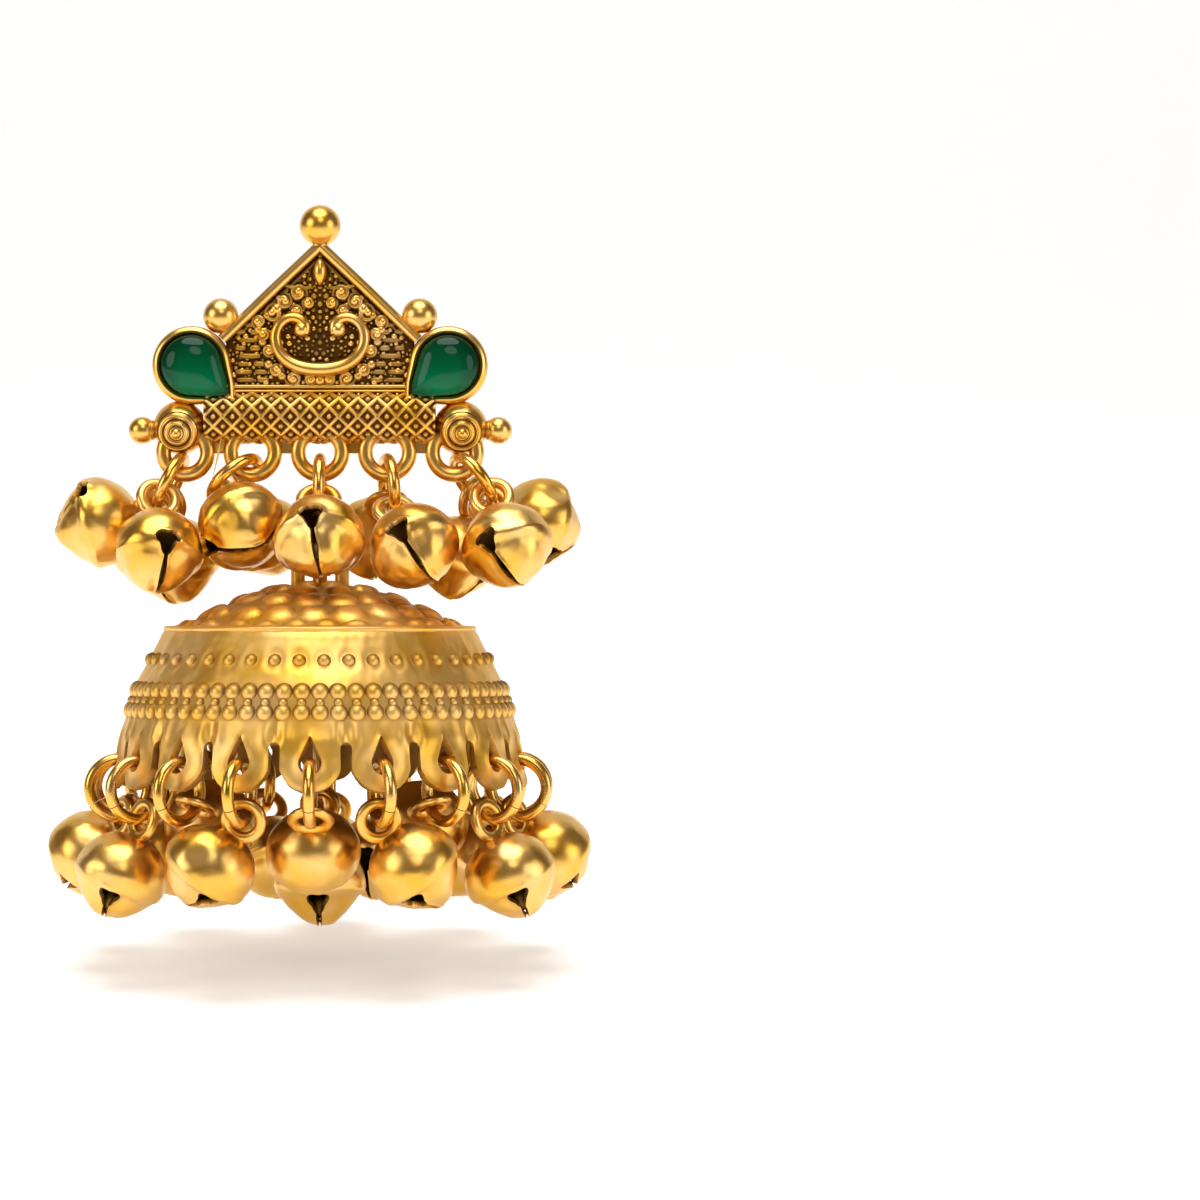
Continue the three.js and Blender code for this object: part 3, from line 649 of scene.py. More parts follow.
# The painted glow of the glass, low down and away from its edge.
GLASS_PAINTED_GLOW = (0.0, 0.22, 0.08, 1)


def pear_reach(radius, tip, angle):
    """From the round end's centre to the outline: a circle, then straight sides to a tip."""
    touch = math.acos(radius / tip)
    off = abs(math.atan2(math.sin(angle), math.cos(angle)))
    if off > touch:
        return radius
    soft = min(1.0, 0.93 + 0.07 * off / 0.25)
    return soft * radius / math.cos(touch - off)


def pear_place(side, reach, angle, y):
    x = -BEZEL_OUT + reach * math.cos(angle + PEAR_LEAN)
    return Vector((-side * x, y, -BEZEL_DROP + reach * math.sin(angle + PEAR_LEAN)))


def cabochon(side):
    """A low dome over the pear outline, pressed out of a sphere."""
    mesh = bmesh.new()
    bmesh.ops.create_uvsphere(mesh, u_segments=72, v_segments=36, radius=1)
    for vert in mesh.verts:
        out = math.hypot(vert.co.x, vert.co.y)
        angle = math.atan2(vert.co.y, vert.co.x)
        swell = out ** 0.85 if out > 0 else 0
        reach = swell * pear_reach(STONE_RADIUS, STONE_TIP, angle)
        high = STONE_GIRDLE + STONE_RISE * vert.co.z if vert.co.z > 0 else STONE_GIRDLE * (1 + vert.co.z)
        vert.co = pear_place(side, reach, angle, -STONE_BACK - high)
    bmesh.ops.recalc_face_normals(mesh, faces=mesh.faces)
    return mesh


def green_glass(side):
    """Deep green glass over foil, with painted light: darker to its edge, lighter low down; clear gloss
    on top.
    """
    material, shader, start = new_material(f"green_glass_{'right' if side > 0 else 'left'}")
    place = start.node("ShaderNodeTexCoord", output="Object")
    middle = pear_place(side, 0.7, 0, -STONE_BACK) * MM
    centred = start.node("ShaderNodeVectorMath", {"operation": "SUBTRACT"}, {0: place, 1: middle})
    x = start.node("ShaderNodeSeparateXYZ", inputs={0: centred})
    z = start.node("ShaderNodeSeparateXYZ", inputs={0: centred}, output=2)
    edge = ((x * x + z * z) ** 0.5) * (1 / (3.1 * MM))
    # Painted glow: the glass is painted lighter low down and darker towards its edge, as light through
    # the dome would make it.
    low = (0.5 - z * (1 / (4.4 * MM))).clamped()
    painted_glow = ((1.15 - edge) * 1.5).clamped() * (0.2 + 0.8 * low * low)
    body = painted_glow.blend(GLASS_DEEP, GLASS_PAINTED_GLOW)
    haze = start.node("ShaderNodeTexNoise", inputs={"Vector": place, "Scale": 500.0, "Detail": 3.0})
    plug(shader, {
        "Base Color": body, "Roughness": 0.04 + 0.03 * haze, "IOR": 1.55,
        "Specular IOR Level": 0.1, "Coat Weight": 0.15, "Coat Roughness": 0.02,
    })
    return material


for side, name in ((-1, "stone_left"), (1, "stone_right")):
    piece = make_object(f"{name}_cabochon", cabochon(side), MM)
    piece.data.materials.append(green_glass(side))
    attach(piece, "crown_body")
    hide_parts(name)


# Dome: brass sheet pressed over a former, beaten from inside, and pierced. A cobbled cap
# sits on a plain shoulder; below it run a row of dots and a band of three rows of beads,
# and the hem is cut into eighteen round petals with a teardrop hole in each.
PETAL_COLUMNS = 24
WALL_ROWS = 56
PETAL_LENGTH = 3.95
NOTCH_HALF = 0.48
TEAR_HALF = 0.95
TEAR_LENGTH = 3.3
EYE_HALF = 1.8
SHOULDER_OUT = 0.737
DOTS = 44
BEADS = 66
COBBLE_RINGS = [
    {"out": 1.4, "count": 4, "size": 1.15},
    {"out": 3.9, "count": 9, "size": 1.3},
    {"out": 6.5, "count": 14, "size": 1.35},
    {"out": 9.0, "count": 19, "size": 1.35},
    {"out": 11.1, "count": 26, "size": 1.0},
]
wall_rows = [
    {"drop": 0.222, "out": 0.742},
    {"drop": 0.25, "out": 0.762},
    {"drop": 0.3, "out": 0.786},
    {"drop": 0.37, "out": 0.822},
    {"drop": 0.44, "out": 0.856},
    {"drop": 0.51, "out": 0.888},
    {"drop": 0.58, "out": 0.912},
    {"drop": 0.65, "out": 0.93},
    {"drop": 0.75, "out": 0.958},
    {"drop": 1.03, "out": 1.0},
]
cap_rows = [
    {"drop": 0.0, "out": 0.0},
    {"drop": 0.012, "out": 0.16},
    {"drop": 0.045, "out": 0.3},
    {"drop": 0.1, "out": 0.45},
    {"drop": 0.165, "out": 0.59},
    {"drop": 0.205, "out": 0.67},
    {"drop": 0.214, "out": 0.72},
    {"drop": 0.225, "out": 0.75},
]
bead_rows = [
    {"drop": 0.378, "count": DOTS, "size": 0.6, "sink": 0.37},
    {"drop": 0.53, "count": BEADS, "size": 0.84, "sink": 0.54},
    {"drop": 0.578, "count": BEADS, "size": 0.42, "sink": 0.22},
    {"drop": 0.627, "count": BEADS, "size": 0.84, "sink": 0.54},
]
pitch = 2 * math.pi * DOME_RADIUS / PETALS


def along_rows(rows, given, wanted, value):
    """Reads a table of named columns as a smooth curve."""
    last = len(rows) - 2
    i = next((k for k in range(last + 1) if value <= rows[k + 1][given]), last)
    low, high = rows[i], rows[i + 1]
    share = (value - low[given]) / (high[given] - low[given])
    before = rows[max(i - 1, 0)][wanted]
    after = rows[min(i + 2, last + 1)][wanted]
    a, b = low[wanted], high[wanted]
    bow = share * (2 * before - 5 * a + 4 * b - after + share * (3 * (a - b) + after - before))
    return a + 0.5 * share * (b - before + bow)


def petal_place(x):
    """How far a place lies from its petal's middle line."""
    return (x + pitch / 2) % pitch - pitch / 2


def tear_distance(place):
    low = HEM_LIP + TEAR_HALF
    x, y = petal_place(place.x), place.y - low
    angle = math.atan2(x, y)
    return math.hypot(x, y) - pear_reach(TEAR_HALF, TEAR_LENGTH - TEAR_HALF, angle)


def notch_distance(place):
    x = petal_place(place.x)
    from_notch = pitch / 2 - abs(x)
    over = max(place.y - (PETAL_LENGTH - NOTCH_HALF), 0)
    away = math.hypot(from_notch, over) - NOTCH_HALF
    tip = pitch / 2 - 0.36
    if place.y < tip:
        away = min(away, tip - math.hypot(x, place.y - tip))
    return away


def hem_distance(place):
    return min(tear_distance(place), notch_distance(place))


def wall_relief(place):
    """How far the beaten wall stands out: lips round the openings, folds that rise from the
    notches, and a dimple round every dot."""
    away = hem_distance(place)
    lip = 0.11 * hill(away, 0.26)
    from_notch = pitch / 2 - abs(petal_place(place.x))
    over = place.y - PETAL_LENGTH
    fold = smooth_step(-1.2, 0.4, over) * smooth_step(2.6, 0.2, over)
    crease = 0.18 * hill(from_notch - 0.9, 0.4) - 0.3 * hill(from_notch, 0.42)
    belly = 0.12 * math.cos(2 * math.pi * place.x / pitch) * smooth_step(5.5, 2.5, place.y)
    row = bead_rows[0]
    spacing = 2 * math.pi * DOME_RADIUS / row["count"]
    x = (place.x / spacing % 1 - 0.5) * spacing * 0.83
    y = place.y - DOME_HEIGHT * (1 - row["drop"])
    dimple = -0.09 * hill(math.hypot(x, y) - 0.62, 0.22)
    wave = 0.09 * noise.noise(Vector((place.x * 0.45, place.y * 0.35, 3)))
    small = 0.03 * noise.noise(Vector((place.x * 1.4, place.y * 1.1, 9)))
    return (lip + fold * crease) * smooth_step(8.5, 5.0, place.y) + belly + dimple + wave + small


def dome_wall():
    """A flat strip that is pierced first, then wrapped round and raised."""
    mesh = bmesh.new()
    columns = PETALS * PETAL_COLUMNS
    top = DOME_HEIGHT * (1 - wall_rows[0]["drop"])
    low = -0.2
    bmesh.ops.create_grid(mesh, x_segments=columns, y_segments=WALL_ROWS, size=1)
    for vert in mesh.verts:
        share = (vert.co.y + 1) / 2
        vert.co = Vector((vert.co.x * PETALS * pitch / 2, low + (top - low) * share ** 1.15, 0))
    cut_open(mesh, hem_distance)
    for vert in mesh.verts:
        place = vert.co.copy()
        drop = 1 - place.y / DOME_HEIGHT
        out = along_rows(wall_rows, "drop", "out", drop) * DOME_RADIUS - 0.1 + wall_relief(place)
        azimuth = math.degrees(place.x / DOME_RADIUS)
        vert.co = heading(azimuth, 0) * out + Vector((0, 0, -drop * DOME_HEIGHT))
    bmesh.ops.remove_doubles(mesh, verts=mesh.verts, dist=0.002)
    band_low, band_high = (DOME_HEIGHT * (1 - drop) for drop in (0.66, 0.5))

    # Painted shade on the sheet of the bead band, between and behind the beads.
    def painted_band_shade(at):
        high = DOME_HEIGHT + at.z
        inside = smooth_step(band_low - 0.2, band_low + 0.2, high)
        return 0.42 * inside * smooth_step(band_high + 0.2, band_high - 0.2, high)

    paint_shade(mesh, 0, painted_band_shade)
    # The dome's inside gets painted shade.
    thicken(mesh, DOME_WALL - 0.15, 0.6, Vector((0, 0, -DOME_HEIGHT)))
    return mesh


def dome_cap():
    mesh = bmesh.new()
    steps = 62
    profile = []
    for i in range(steps + 1):
        out = cap_rows[-1]["out"] * i / steps
        drop = along_rows(cap_rows, "out", "drop", out)
        profile.append(mesh.verts.new((out * DOME_RADIUS, 0, -drop * DOME_HEIGHT)))
    edges = [mesh.edges.new(pair) for pair in zip(profile, profile[1:])]
    bmesh.ops.spin(
        mesh, geom=edges, axis=(0, 0, 1), cent=(0, 0, 0), steps=200,
        angle=2 * math.pi, use_merge=True, dvec=(0, 0, 0),
    )
    bmesh.ops.remove_doubles(mesh, verts=mesh.verts, dist=0.001)
    chance = random.Random(41)
    stones = []
    for row in COBBLE_RINGS:
        start_angle = chance.uniform(0, 6)
        for k in range(row["count"]):
            angle = start_angle + 2 * math.pi * (k + chance.uniform(-0.16, 0.16)) / row["count"]
            out = row["out"] + chance.uniform(-0.25, 0.25)
            stones.append({
                "x": out * math.cos(angle), "y": out * math.sin(angle),
                "size": row["size"] * chance.uniform(0.85, 1.1), "turn": angle,
                "wide": chance.uniform(0.7, 0.9),
            })
    layer = mesh.verts.layers.float.new("recess")
    for vert in mesh.verts:
        best = 9.0
        second = 9.0
        for stone in stones:
            x, y = vert.co.x - stone["x"], vert.co.y - stone["y"]
            if abs(x) > 3 or abs(y) > 3:
                continue
            along = x * math.cos(stone["turn"]) + y * math.sin(stone["turn"])
            across = y * math.cos(stone["turn"]) - x * math.sin(stone["turn"])
            far = math.hypot(along / stone["wide"], across) / stone["size"]
            if far < best:
                best, second = far, best
            elif far < second:
                second = far
        valley = min((second - best) / 0.35, 1)
        rise = smooth_step(0, 1, valley) * max(1 - min(best, 1) ** 3, 0) ** 0.7
        rim = smooth_step(11.9, 11.2, math.hypot(vert.co.x, vert.co.y))
        # Painted shade in the valleys between the cobbles, fading out towards the cap's rim.
        vert[layer] = 0.4 * (1 - smooth_step(0.0, 0.35, rise)) * rim
        vert.co.z += 0.45 * rise * rim - 0.22 * rim
    thicken(mesh, 0.5, 0.6, Vector((0, 0, -DOME_HEIGHT)))
    return mesh


def bent_wire(points, radius, widths=None, smooth=True):
    """A wire bent through the points, as a closed mesh; `widths` thins or swells it."""
    curve = bpy.data.curves.new("wire", "CURVE")
    curve.dimensions = "3D"
    curve.bevel_depth = radius
    curve.bevel_resolution = 3
    curve.use_fill_caps = True
    curve.resolution_u = 6
    spline = curve.splines.new("NURBS" if smooth else "POLY")
    spline.points.add(len(points) - 1)
    for i, (place, point) in enumerate(zip(points, spline.points)):
        point.co = (*place, 1)
        point.radius = widths[i] if widths else 1
    spline.use_endpoint_u = True
    spline.order_u = min(4, len(points))
    holder = bpy.data.objects.new("wire", curve)
    scene.collection.objects.link(holder)
    shape = holder.evaluated_get(bpy.context.evaluated_depsgraph_get()).to_mesh()
    mesh = bmesh.new()
    mesh.from_mesh(shape)
    bpy.data.objects.remove(holder)
    bpy.data.curves.remove(curve)
    bmesh.ops.remove_doubles(mesh, verts=mesh.verts, dist=radius / 50)
    bmesh.ops.recalc_face_normals(mesh, faces=mesh.faces)
    return mesh


def pearl(mesh, at, radius, recess=0.0, fine=2):
    first = len(mesh.verts)
    bmesh.ops.create_icosphere(mesh, subdivisions=fine, radius=radius, matrix=Matrix.Translation(at))
    paint_shade(mesh, first, recess)


def bead_painted_shade(centre, outward, sink):
    """Painted shade on the beads, darkest where they meet the sheet."""
    return lambda at: 0.75 * smooth_step(0.2, -0.05, (at - centre).dot(outward) - sink)


dome = bmesh.new()
paint_shade(dome, 0, 0.0)
add_part(dome, dome_wall())
add_part(dome, dome_cap())
shoulder = wire_ring(SHOULDER_OUT * DOME_RADIUS, 0.22, steps=144, sides=10)
add_part(dome, shoulder, Matrix.Translation((0, 0, -0.226 * DOME_HEIGHT)))
beads = bmesh.new()
for row in bead_rows:
    out = along_rows(wall_rows, "drop", "out", row["drop"]) * DOME_RADIUS
    for k in range(row["count"]):
        outward = heading(360 * (k + 0.5) / row["count"], 0)
        centre = outward * (out - row["sink"]) + Vector((0, 0, -row["drop"] * DOME_HEIGHT))
        fine = 3 if row["size"] > 0.8 else 2
        pearl(beads, centre, row["size"], bead_painted_shade(centre, outward, row["sink"]), fine)
add_part(dome, beads)
bow = EYE_RISE - EYE_WIRE - EYE_HALF
eye_points = [Vector((-EYE_HALF, 0, z)) for z in (-0.7, 1.5, 3.4, bow - 0.4)]
eye_points += [
    Vector((-EYE_HALF * math.cos(a), 0, bow + EYE_HALF * math.sin(a) * 1.1))
    for a in (math.radians(d) for d in (20, 50, 90, 130, 160))
]
eye_points += [Vector((EYE_HALF, 0, z)) for z in (bow - 0.4, 3.4, 1.5, -0.7)]
part = bent_wire(eye_points, EYE_WIRE * 0.97)
add_part(dome, part, recess=0.0)
bmesh.ops.translate(dome, vec=HANGING, verts=dome.verts)
piece = make_object("dome_pierced", dome, MM, math.radians(50))
piece.data.materials.append(gilt("satin_gilt_dome", shine=0.36, dents=0.5))
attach(piece, "drop")
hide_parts("dome")


# Crown: one heavy brass casting. A gable plate with a round rim and a field of cast
# scrolls, bars and grains, two pear settings, a half round roll with a raised lattice, end
# domes with ringed bosses, round balls, five loops below, and the post behind.
PLATE_DEPTH = 1.0
RELIEF_DEPTH = 0.8
GABLE_TOP = 8.5
EAVES_HEIGHT = 1.15
EAVES_HALF = 7.7
FOOT_DROP = 4.2
RIM_RADIUS = 0.46
TOP_BALL = 1.68
SIDE_BALL = 1.45
OUTER_BALL = 1.12
ROLL_RADIUS = 2.1
ROLL_HALF = 9.45
ROLL_DROP = 5.55
ROLL_AXIS = 0.6
LATTICE_PITCH = 1.575
END_DOME = 2.2
END_DROP = 6.4
BOSS_WIRE = 0.12
TAB_HALF = 0.7
TAB_DROP = 8.5
POST_WIRE = 0.45
POST_LENGTH = 10.5
POST_PAD = 2.2
POST_PAD_DEPTH = 0.5
GROUND = -PLATE_DEPTH
BACK_STEP = 0.06  # the tabs' and settings' backs lie this far in from the plate's

cast = bmesh.new()
paint_shade(cast, 0, 0.0)


def ground_painted_shade(at):
    """The field's ornament gets painted shade where it meets the plate, and none on top."""
    return smooth_step(GROUND - 0.65, GROUND - 0.12, at.y)


def cast_plate(points, back, front, edge, recess=0.0):
    """A plate with the outline's x and z, cast with a softened edge."""
    first = len(cast.verts)
    corners = [cast.verts.new((x, back, z)) for x, z in points]
    face = cast.faces.new(corners)
    drawn = bmesh.ops.extrude_face_region(cast, geom=[face])["geom"]
    moved = [item for item in drawn if isinstance(item, bmesh.types.BMVert)]
    bmesh.ops.translate(cast, vec=(0, front - back, 0), verts=moved)
    cast.verts.ensure_lookup_table()
    own = set(cast.verts[first:])
    edges = [item for item in cast.edges if item.verts[0] in own and item.verts[1] in own]
    faces = [item for item in cast.faces if item.verts[0] in own]
    bmesh.ops.recalc_face_normals(cast, faces=faces)
    if edge:
        bmesh.ops.bevel(
            cast, geom=edges, offset=edge, segments=2, affect="EDGES", profile=0.5, material=-1,
        )
    paint_shade(cast, first, recess)


def cast_wire(points, radius, widths=None, recess=ground_painted_shade, smooth=True):
    add_part(cast, bent_wire(points, radius, widths, smooth), recess=recess)


gable = [
    (0, GABLE_TOP), (-EAVES_HALF, EAVES_HEIGHT), (-EAVES_HALF, -FOOT_DROP),
    (EAVES_HALF, -FOOT_DROP), (EAVES_HALF, EAVES_HEIGHT),
]
# The plate's front, the field's ground, is painted in full shade, its back in a little.
cast_plate(gable, 0, GROUND, 0.08, lambda at: 1.0 if at.y < GROUND + 0.2 else 0.25)
rim_y = GROUND - RELIEF_DEPTH + RIM_RADIUS
rim = [(-0.25, GABLE_TOP + 0.2), (4, 4.7), (EAVES_HALF + 0.3, EAVES_HEIGHT - 0.35)]
thread_y = GROUND - 0.12
thread = [(0.1, GABLE_TOP - 1.1), (6.9, EAVES_HEIGHT - 0.2)]
for side in (-1, 1):
    cast_wire([(side * x, rim_y, z) for x, z in rim], RIM_RADIUS, smooth=False)
    cast_wire([(side * x, thread_y, z) for x, z in thread], 0.17, smooth=False)


# Field ornament, as places from the post, right half; every one has its mirror on the left.
def at_field(x, z, proud=0.1):
    return Vector((x, GROUND - proud, z))


SCROLL_WIRE = 0.2
SCROLL_TURNS = 1.3


def scroll(x, z, size, start_turn, side, hand):
    """A wire curled in to a round end."""
    points, widths = [], []
    steps = 16
    for i in range(steps + 1):
        share = i / steps
        angle = math.radians(start_turn) + hand * 2 * math.pi * SCROLL_TURNS * share
        out = size * (1 - 0.78 * share)
        across, up = x + out * math.cos(angle), z + out * math.sin(angle)
        points.append(at_field(side * across, up, 0.18 + 0.25 * share))
        widths.append(0.7 + 0.6 * share ** 3 + 0.3 * math.sin(math.pi * share))
    cast_wire(points, SCROLL_WIRE, widths)
    pearl(relief, points[-1] + Vector((0, 0.05, 0)), SCROLL_WIRE * 1.75, ground_painted_shade)


relief = bmesh.new()
paint_shade(relief, 0, 0.0)
crescent_rows = [
    {"x": 1.3, "z": 1.35, "width": 1.1}, {"x": 1.05, "z": 1.95, "width": 1.05},
    {"x": 1.6, "z": 2.6, "width": 1.0}, {"x": 2.6, "z": 2.65, "width": 0.95},
    {"x": 3.45, "z": 2.0, "width": 0.95}, {"x": 3.75, "z": 0.9, "width": 1.0},
    {"x": 3.4, "z": -0.3, "width": 1.1}, {"x": 2.4, "z": -1.2, "width": 1.2},
    {"x": 1.2, "z": -1.6, "width": 1.3},
]
crescent = [at_field(row["x"], row["z"], 0.5) for row in crescent_rows]
crescent.append(at_field(0, -1.7, 0.5))
crescent += [Vector((-point.x, point.y, point.z)) for point in reversed(crescent[:-1])]
widths = [row["width"] for row in crescent_rows]
cast_wire(crescent, 0.46, widths + [1.35] + widths[::-1])
for side in (-1, 1):
    pearl(relief, at_field(side * 1.5, 1.6, 0.5), 0.66, ground_painted_shade, 3)

first = len(cast.verts)
bmesh.ops.create_uvsphere(cast, u_segments=20, v_segments=12, radius=1)
cast.verts.ensure_lookup_table()
for vert in cast.verts[first:]:
    taper = 1 - 0.35 * abs(vert.co.z) ** 2
    vert.co = Vector((0.62 * taper * vert.co.x, GROUND - 0.15 + 0.8 * vert.co.y, 6.35 + 1.2 * vert.co.z))
paint_shade(cast, first, ground_painted_shade)

pearls = [
    {"x": 0.0, "z": 7.65, "size": 0.26}, {"x": 0.5, "z": 4.35, "size": 0.3},
    {"x": 1.2, "z": 4.45, "size": 0.22}, {"x": 1.9, "z": 4.3, "size": 0.4},
    {"x": 2.7, "z": 3.8, "size": 0.34}, {"x": 3.55, "z": 3.3, "size": 0.52},
    {"x": 4.35, "z": 2.75, "size": 0.38}, {"x": 5.0, "z": 1.6, "size": 0.45},
    {"x": 4.7, "z": 0.6, "size": 0.42}, {"x": 4.35, "z": -0.35, "size": 0.3},
    {"x": 4.2, "z": -1.25, "size": 0.44}, {"x": 3.1, "z": -2.2, "size": 0.42},
    {"x": 0.0, "z": -2.55, "size": 0.5}, {"x": 0.62, "z": -2.95, "size": 0.26},
    {"x": 1.75, "z": -2.35, "size": 0.3}, {"x": 0.0, "z": 3.7, "size": 0.3},
    {"x": 0.55, "z": 3.2, "size": 0.24}, {"x": 0.0, "z": 2.6, "size": 0.24},
    {"x": 0.0, "z": 1.55, "size": 0.24}, {"x": 0.34, "z": 1.05, "size": 0.22},
    {"x": 0.0, "z": 0.55, "size": 0.26}, {"x": 0.62, "z": 0.3, "size": 0.2},
    {"x": 0.3, "z": -0.35, "size": 0.26}, {"x": 0.95, "z": -0.5, "size": 0.22},
    {"x": 1.6, "z": -0.45, "size": 0.2}, {"x": 6.9, "z": -2.9, "size": 0.26},
    {"x": 2.5, "z": 2.95, "size": 0.26},
]
scrolls = [
    {"x": 1.75, "z": 4.6, "size": 0.72, "start": 200, "hand": -1},
    {"x": 2.95, "z": 3.95, "size": 0.7, "start": 90, "hand": 1},
    {"x": 3.75, "z": 2.95, "size": 0.85, "start": 120, "hand": -1},
    {"x": 5.0, "z": 2.25, "size": 0.62, "start": 250, "hand": 1},
    {"x": 4.6, "z": 1.3, "size": 0.6, "start": 60, "hand": -1},
    {"x": 0.95, "z": 3.75, "size": 0.5, "start": 300, "hand": 1},
    {"x": 1.95, "z": 3.1, "size": 0.55, "start": 20, "hand": 1},
    {"x": 4.15, "z": -0.1, "size": 0.55, "start": 180, "hand": 1},
    {"x": 2.2, "z": -2.35, "size": 0.7, "start": 10, "hand": -1},
    {"x": 3.55, "z": -1.75, "size": 0.6, "start": 200, "hand": -1},
    {"x": 0.75, "z": -2.45, "size": 0.5, "start": 160, "hand": 1},
]
bars = [
    {"x": 5.2, "z": 2.0, "long": 0.9, "size": 0.24}, {"x": 5.0, "z": 1.4, "long": 0.7, "size": 0.28},
    {"x": 6.1, "z": 1.45, "long": 0.8, "size": 0.26}, {"x": 5.1, "z": 0.75, "long": 1.5, "size": 0.25},
    {"x": 4.9, "z": 0.1, "long": 0.8, "size": 0.3}, {"x": 6.1, "z": 0.1, "long": 0.8, "size": 0.26},
    {"x": 4.9, "z": -0.55, "long": 1.7, "size": 0.27}, {"x": 4.5, "z": -1.2, "long": 0.9, "size": 0.28},
    {"x": 5.8, "z": -1.2, "long": 0.9, "size": 0.24}, {"x": 4.3, "z": -1.85, "long": 1.0, "size": 0.26},
    {"x": 5.6, "z": -1.85, "long": 1.3, "size": 0.26}, {"x": 4.2, "z": -2.5, "long": 0.9, "size": 0.28},
    {"x": 5.4, "z": -2.5, "long": 1.4, "size": 0.24},
]
for row in pearls:
    for side in (-1, 1) if row["x"] else (1,):
        pearl(relief, at_field(side * row["x"], row["z"], 0.35 * row["size"]), row["size"], ground_painted_shade)
for row in scrolls:
    for side in (-1, 1):
        scroll(row["x"], row["z"], row["size"], row["start"], side, row["hand"])
for row in bars:
    for side in (-1, 1):
        places = [row["x"] + part * row["long"] for part in (0, 0.25, 0.75, 1)]
        ends = [at_field(side * x, row["z"], 0.12) for x in places]
        cast_wire(ends, row["size"], (0.75, 1, 1, 0.75), smooth=False)
for side in (-1, 1):
    sweep = [(0.55, 5.05, 0.1), (1.3, 4.98, 0.22), (2.2, 5.0, 0.3), (2.85, 5.25, 0.2)]
    cast_wire([at_field(side * x, z, proud) for x, z, proud in sweep], 0.19, (0.8, 1, 1.1, 0.8))
    for k in range(4):
        low = at_field(side * (1.0 + 0.42 * k), 5.55 - 0.02 * k, 0.1)
        high = at_field(side * (0.72 + 0.36 * k), 6.75 - 0.34 * k, 0.1)
        cast_wire([low, high], 0.13, smooth=False)

# Small grains fill the field between the larger ornament.
def grain_painted_shade(at):
    # Painted shade on the grains where they meet the plate, none on top.
    return smooth_step(GROUND - 0.34, GROUND - 0.05, at.y)


GRAINS = 460
chance = random.Random(7)
taken = [(side * row["x"], row["z"], row["size"]) for row in pearls for side in (-1, 1)]
for _ in range(GRAINS * 12):
    if len(taken) > GRAINS:
        break
    z = chance.uniform(-3.0, 7.2)
    half = min(7.5, (GABLE_TOP - 0.95 - z) * 1.02)
    x = chance.uniform(0, 1) * half
    size = chance.choice((0.16, 0.2, 0.25, 0.32))
    if any(math.hypot(x - a, z - b) < 0.9 * (size + c) for a, b, c in taken):
        continue
    taken += [(x, z, size), (-x, z, size)]
    for side in (-1, 1):
        pearl(relief, at_field(side * x, z, 0.45 * size), size, grain_painted_shade, 1)
add_part(cast, relief)

# Fillet line over the roll, and the lattice roll itself.
for z, size in ((-3.05, 0.17), (-3.42, 0.13)):
    # The fillet wires get a little painted shade.
    cast_wire([at_field(-7.6, z, 0.3), at_field(7.6, z, 0.3)], size, smooth=False, recess=0.15)


def lattice_roll():
    """A flat strip with its lattice, wrapped to a half round and closed behind."""
    mesh = bmesh.new()
    around = math.pi * ROLL_RADIUS
    bmesh.ops.create_grid(mesh, x_segments=240, y_segments=72, size=1)
    layer = mesh.verts.layers.float.new("recess")
    step = LATTICE_PITCH / 2
    for vert in mesh.verts:
        x, v = vert.co.x * ROLL_HALF, vert.co.y * around / 2
        a = (x + v * 0.9) / (2 * step)
        b = (x - v * 0.9) / (2 * step)
        off_a, off_b = abs(a - round(a)), abs(b - round(b))
        ridge = smooth_step(0.2, 0.06, min(off_a, off_b))
        middle = math.hypot(a - math.floor(a) - 0.5, b - math.floor(b) - 0.5)
        knob = smooth_step(0.26, 0.08, middle)
        end = smooth_step(ROLL_HALF, ROLL_HALF - 0.2, abs(x))
        rise = (0.3 * max(ridge, 0.75 * knob) - 0.16) * end
        angle = vert.co.y * math.pi / 2
        out = ROLL_RADIUS - 0.05 + rise
        # Painted shade in the hollows of the lattice, none on its ridges and knobs.
        vert[layer] = 1 - smooth_step(0.1, 0.7, max(ridge, knob))
        vert.co = Vector((x, -ROLL_AXIS - out * math.cos(angle), -ROLL_DROP + out * math.sin(angle)))
    rim = [edge for edge in mesh.edges if edge.is_boundary]
    drawn = bmesh.ops.extrude_edge_only(mesh, edges=rim)["geom"]
    for item in drawn:
        if isinstance(item, bmesh.types.BMVert):
            item.co.y = GROUND / 2
    bmesh.ops.holes_fill(mesh, edges=[edge for edge in mesh.edges if edge.is_boundary])
    bmesh.ops.recalc_face_normals(mesh, faces=mesh.faces)
    return mesh


add_part(cast, lattice_roll())
roll_low = -ROLL_DROP - ROLL_RADIUS + 0.12
behind = [
    (-ROLL_HALF, -FOOT_DROP), (-ROLL_HALF, roll_low),
    (ROLL_HALF, roll_low), (ROLL_HALF, -FOOT_DROP),
]
# The plate behind the roll gets painted shade.
cast_plate(behind, 0, 0.6 * GROUND, 0, 0.3)


# Settings, balls and end domes, left and right.
def cut_flat(part):
    """A part of the casting ends near the crown's flat back."""
    geometry = list(part.verts) + list(part.edges) + list(part.faces)
    cut = bmesh.ops.bisect_plane(
        part, geom=geometry, plane_co=(0, -BACK_STEP / 2, 0), plane_no=(0, 1, 0), clear_outer=True,
    )
    edges = [item for item in cut["geom_cut"] if isinstance(item, bmesh.types.BMEdge)]
    if edges:
        bmesh.ops.holes_fill(part, edges=edges)
    bmesh.ops.recalc_face_normals(part, faces=part.faces)


def cast_ball(radius, at):
    part = bmesh.new()
    place = Matrix.Translation(at)
    bmesh.ops.create_uvsphere(part, u_segments=40, v_segments=20, radius=radius, matrix=place)
    cut_flat(part)
    add_part(cast, part, recess=0.0)


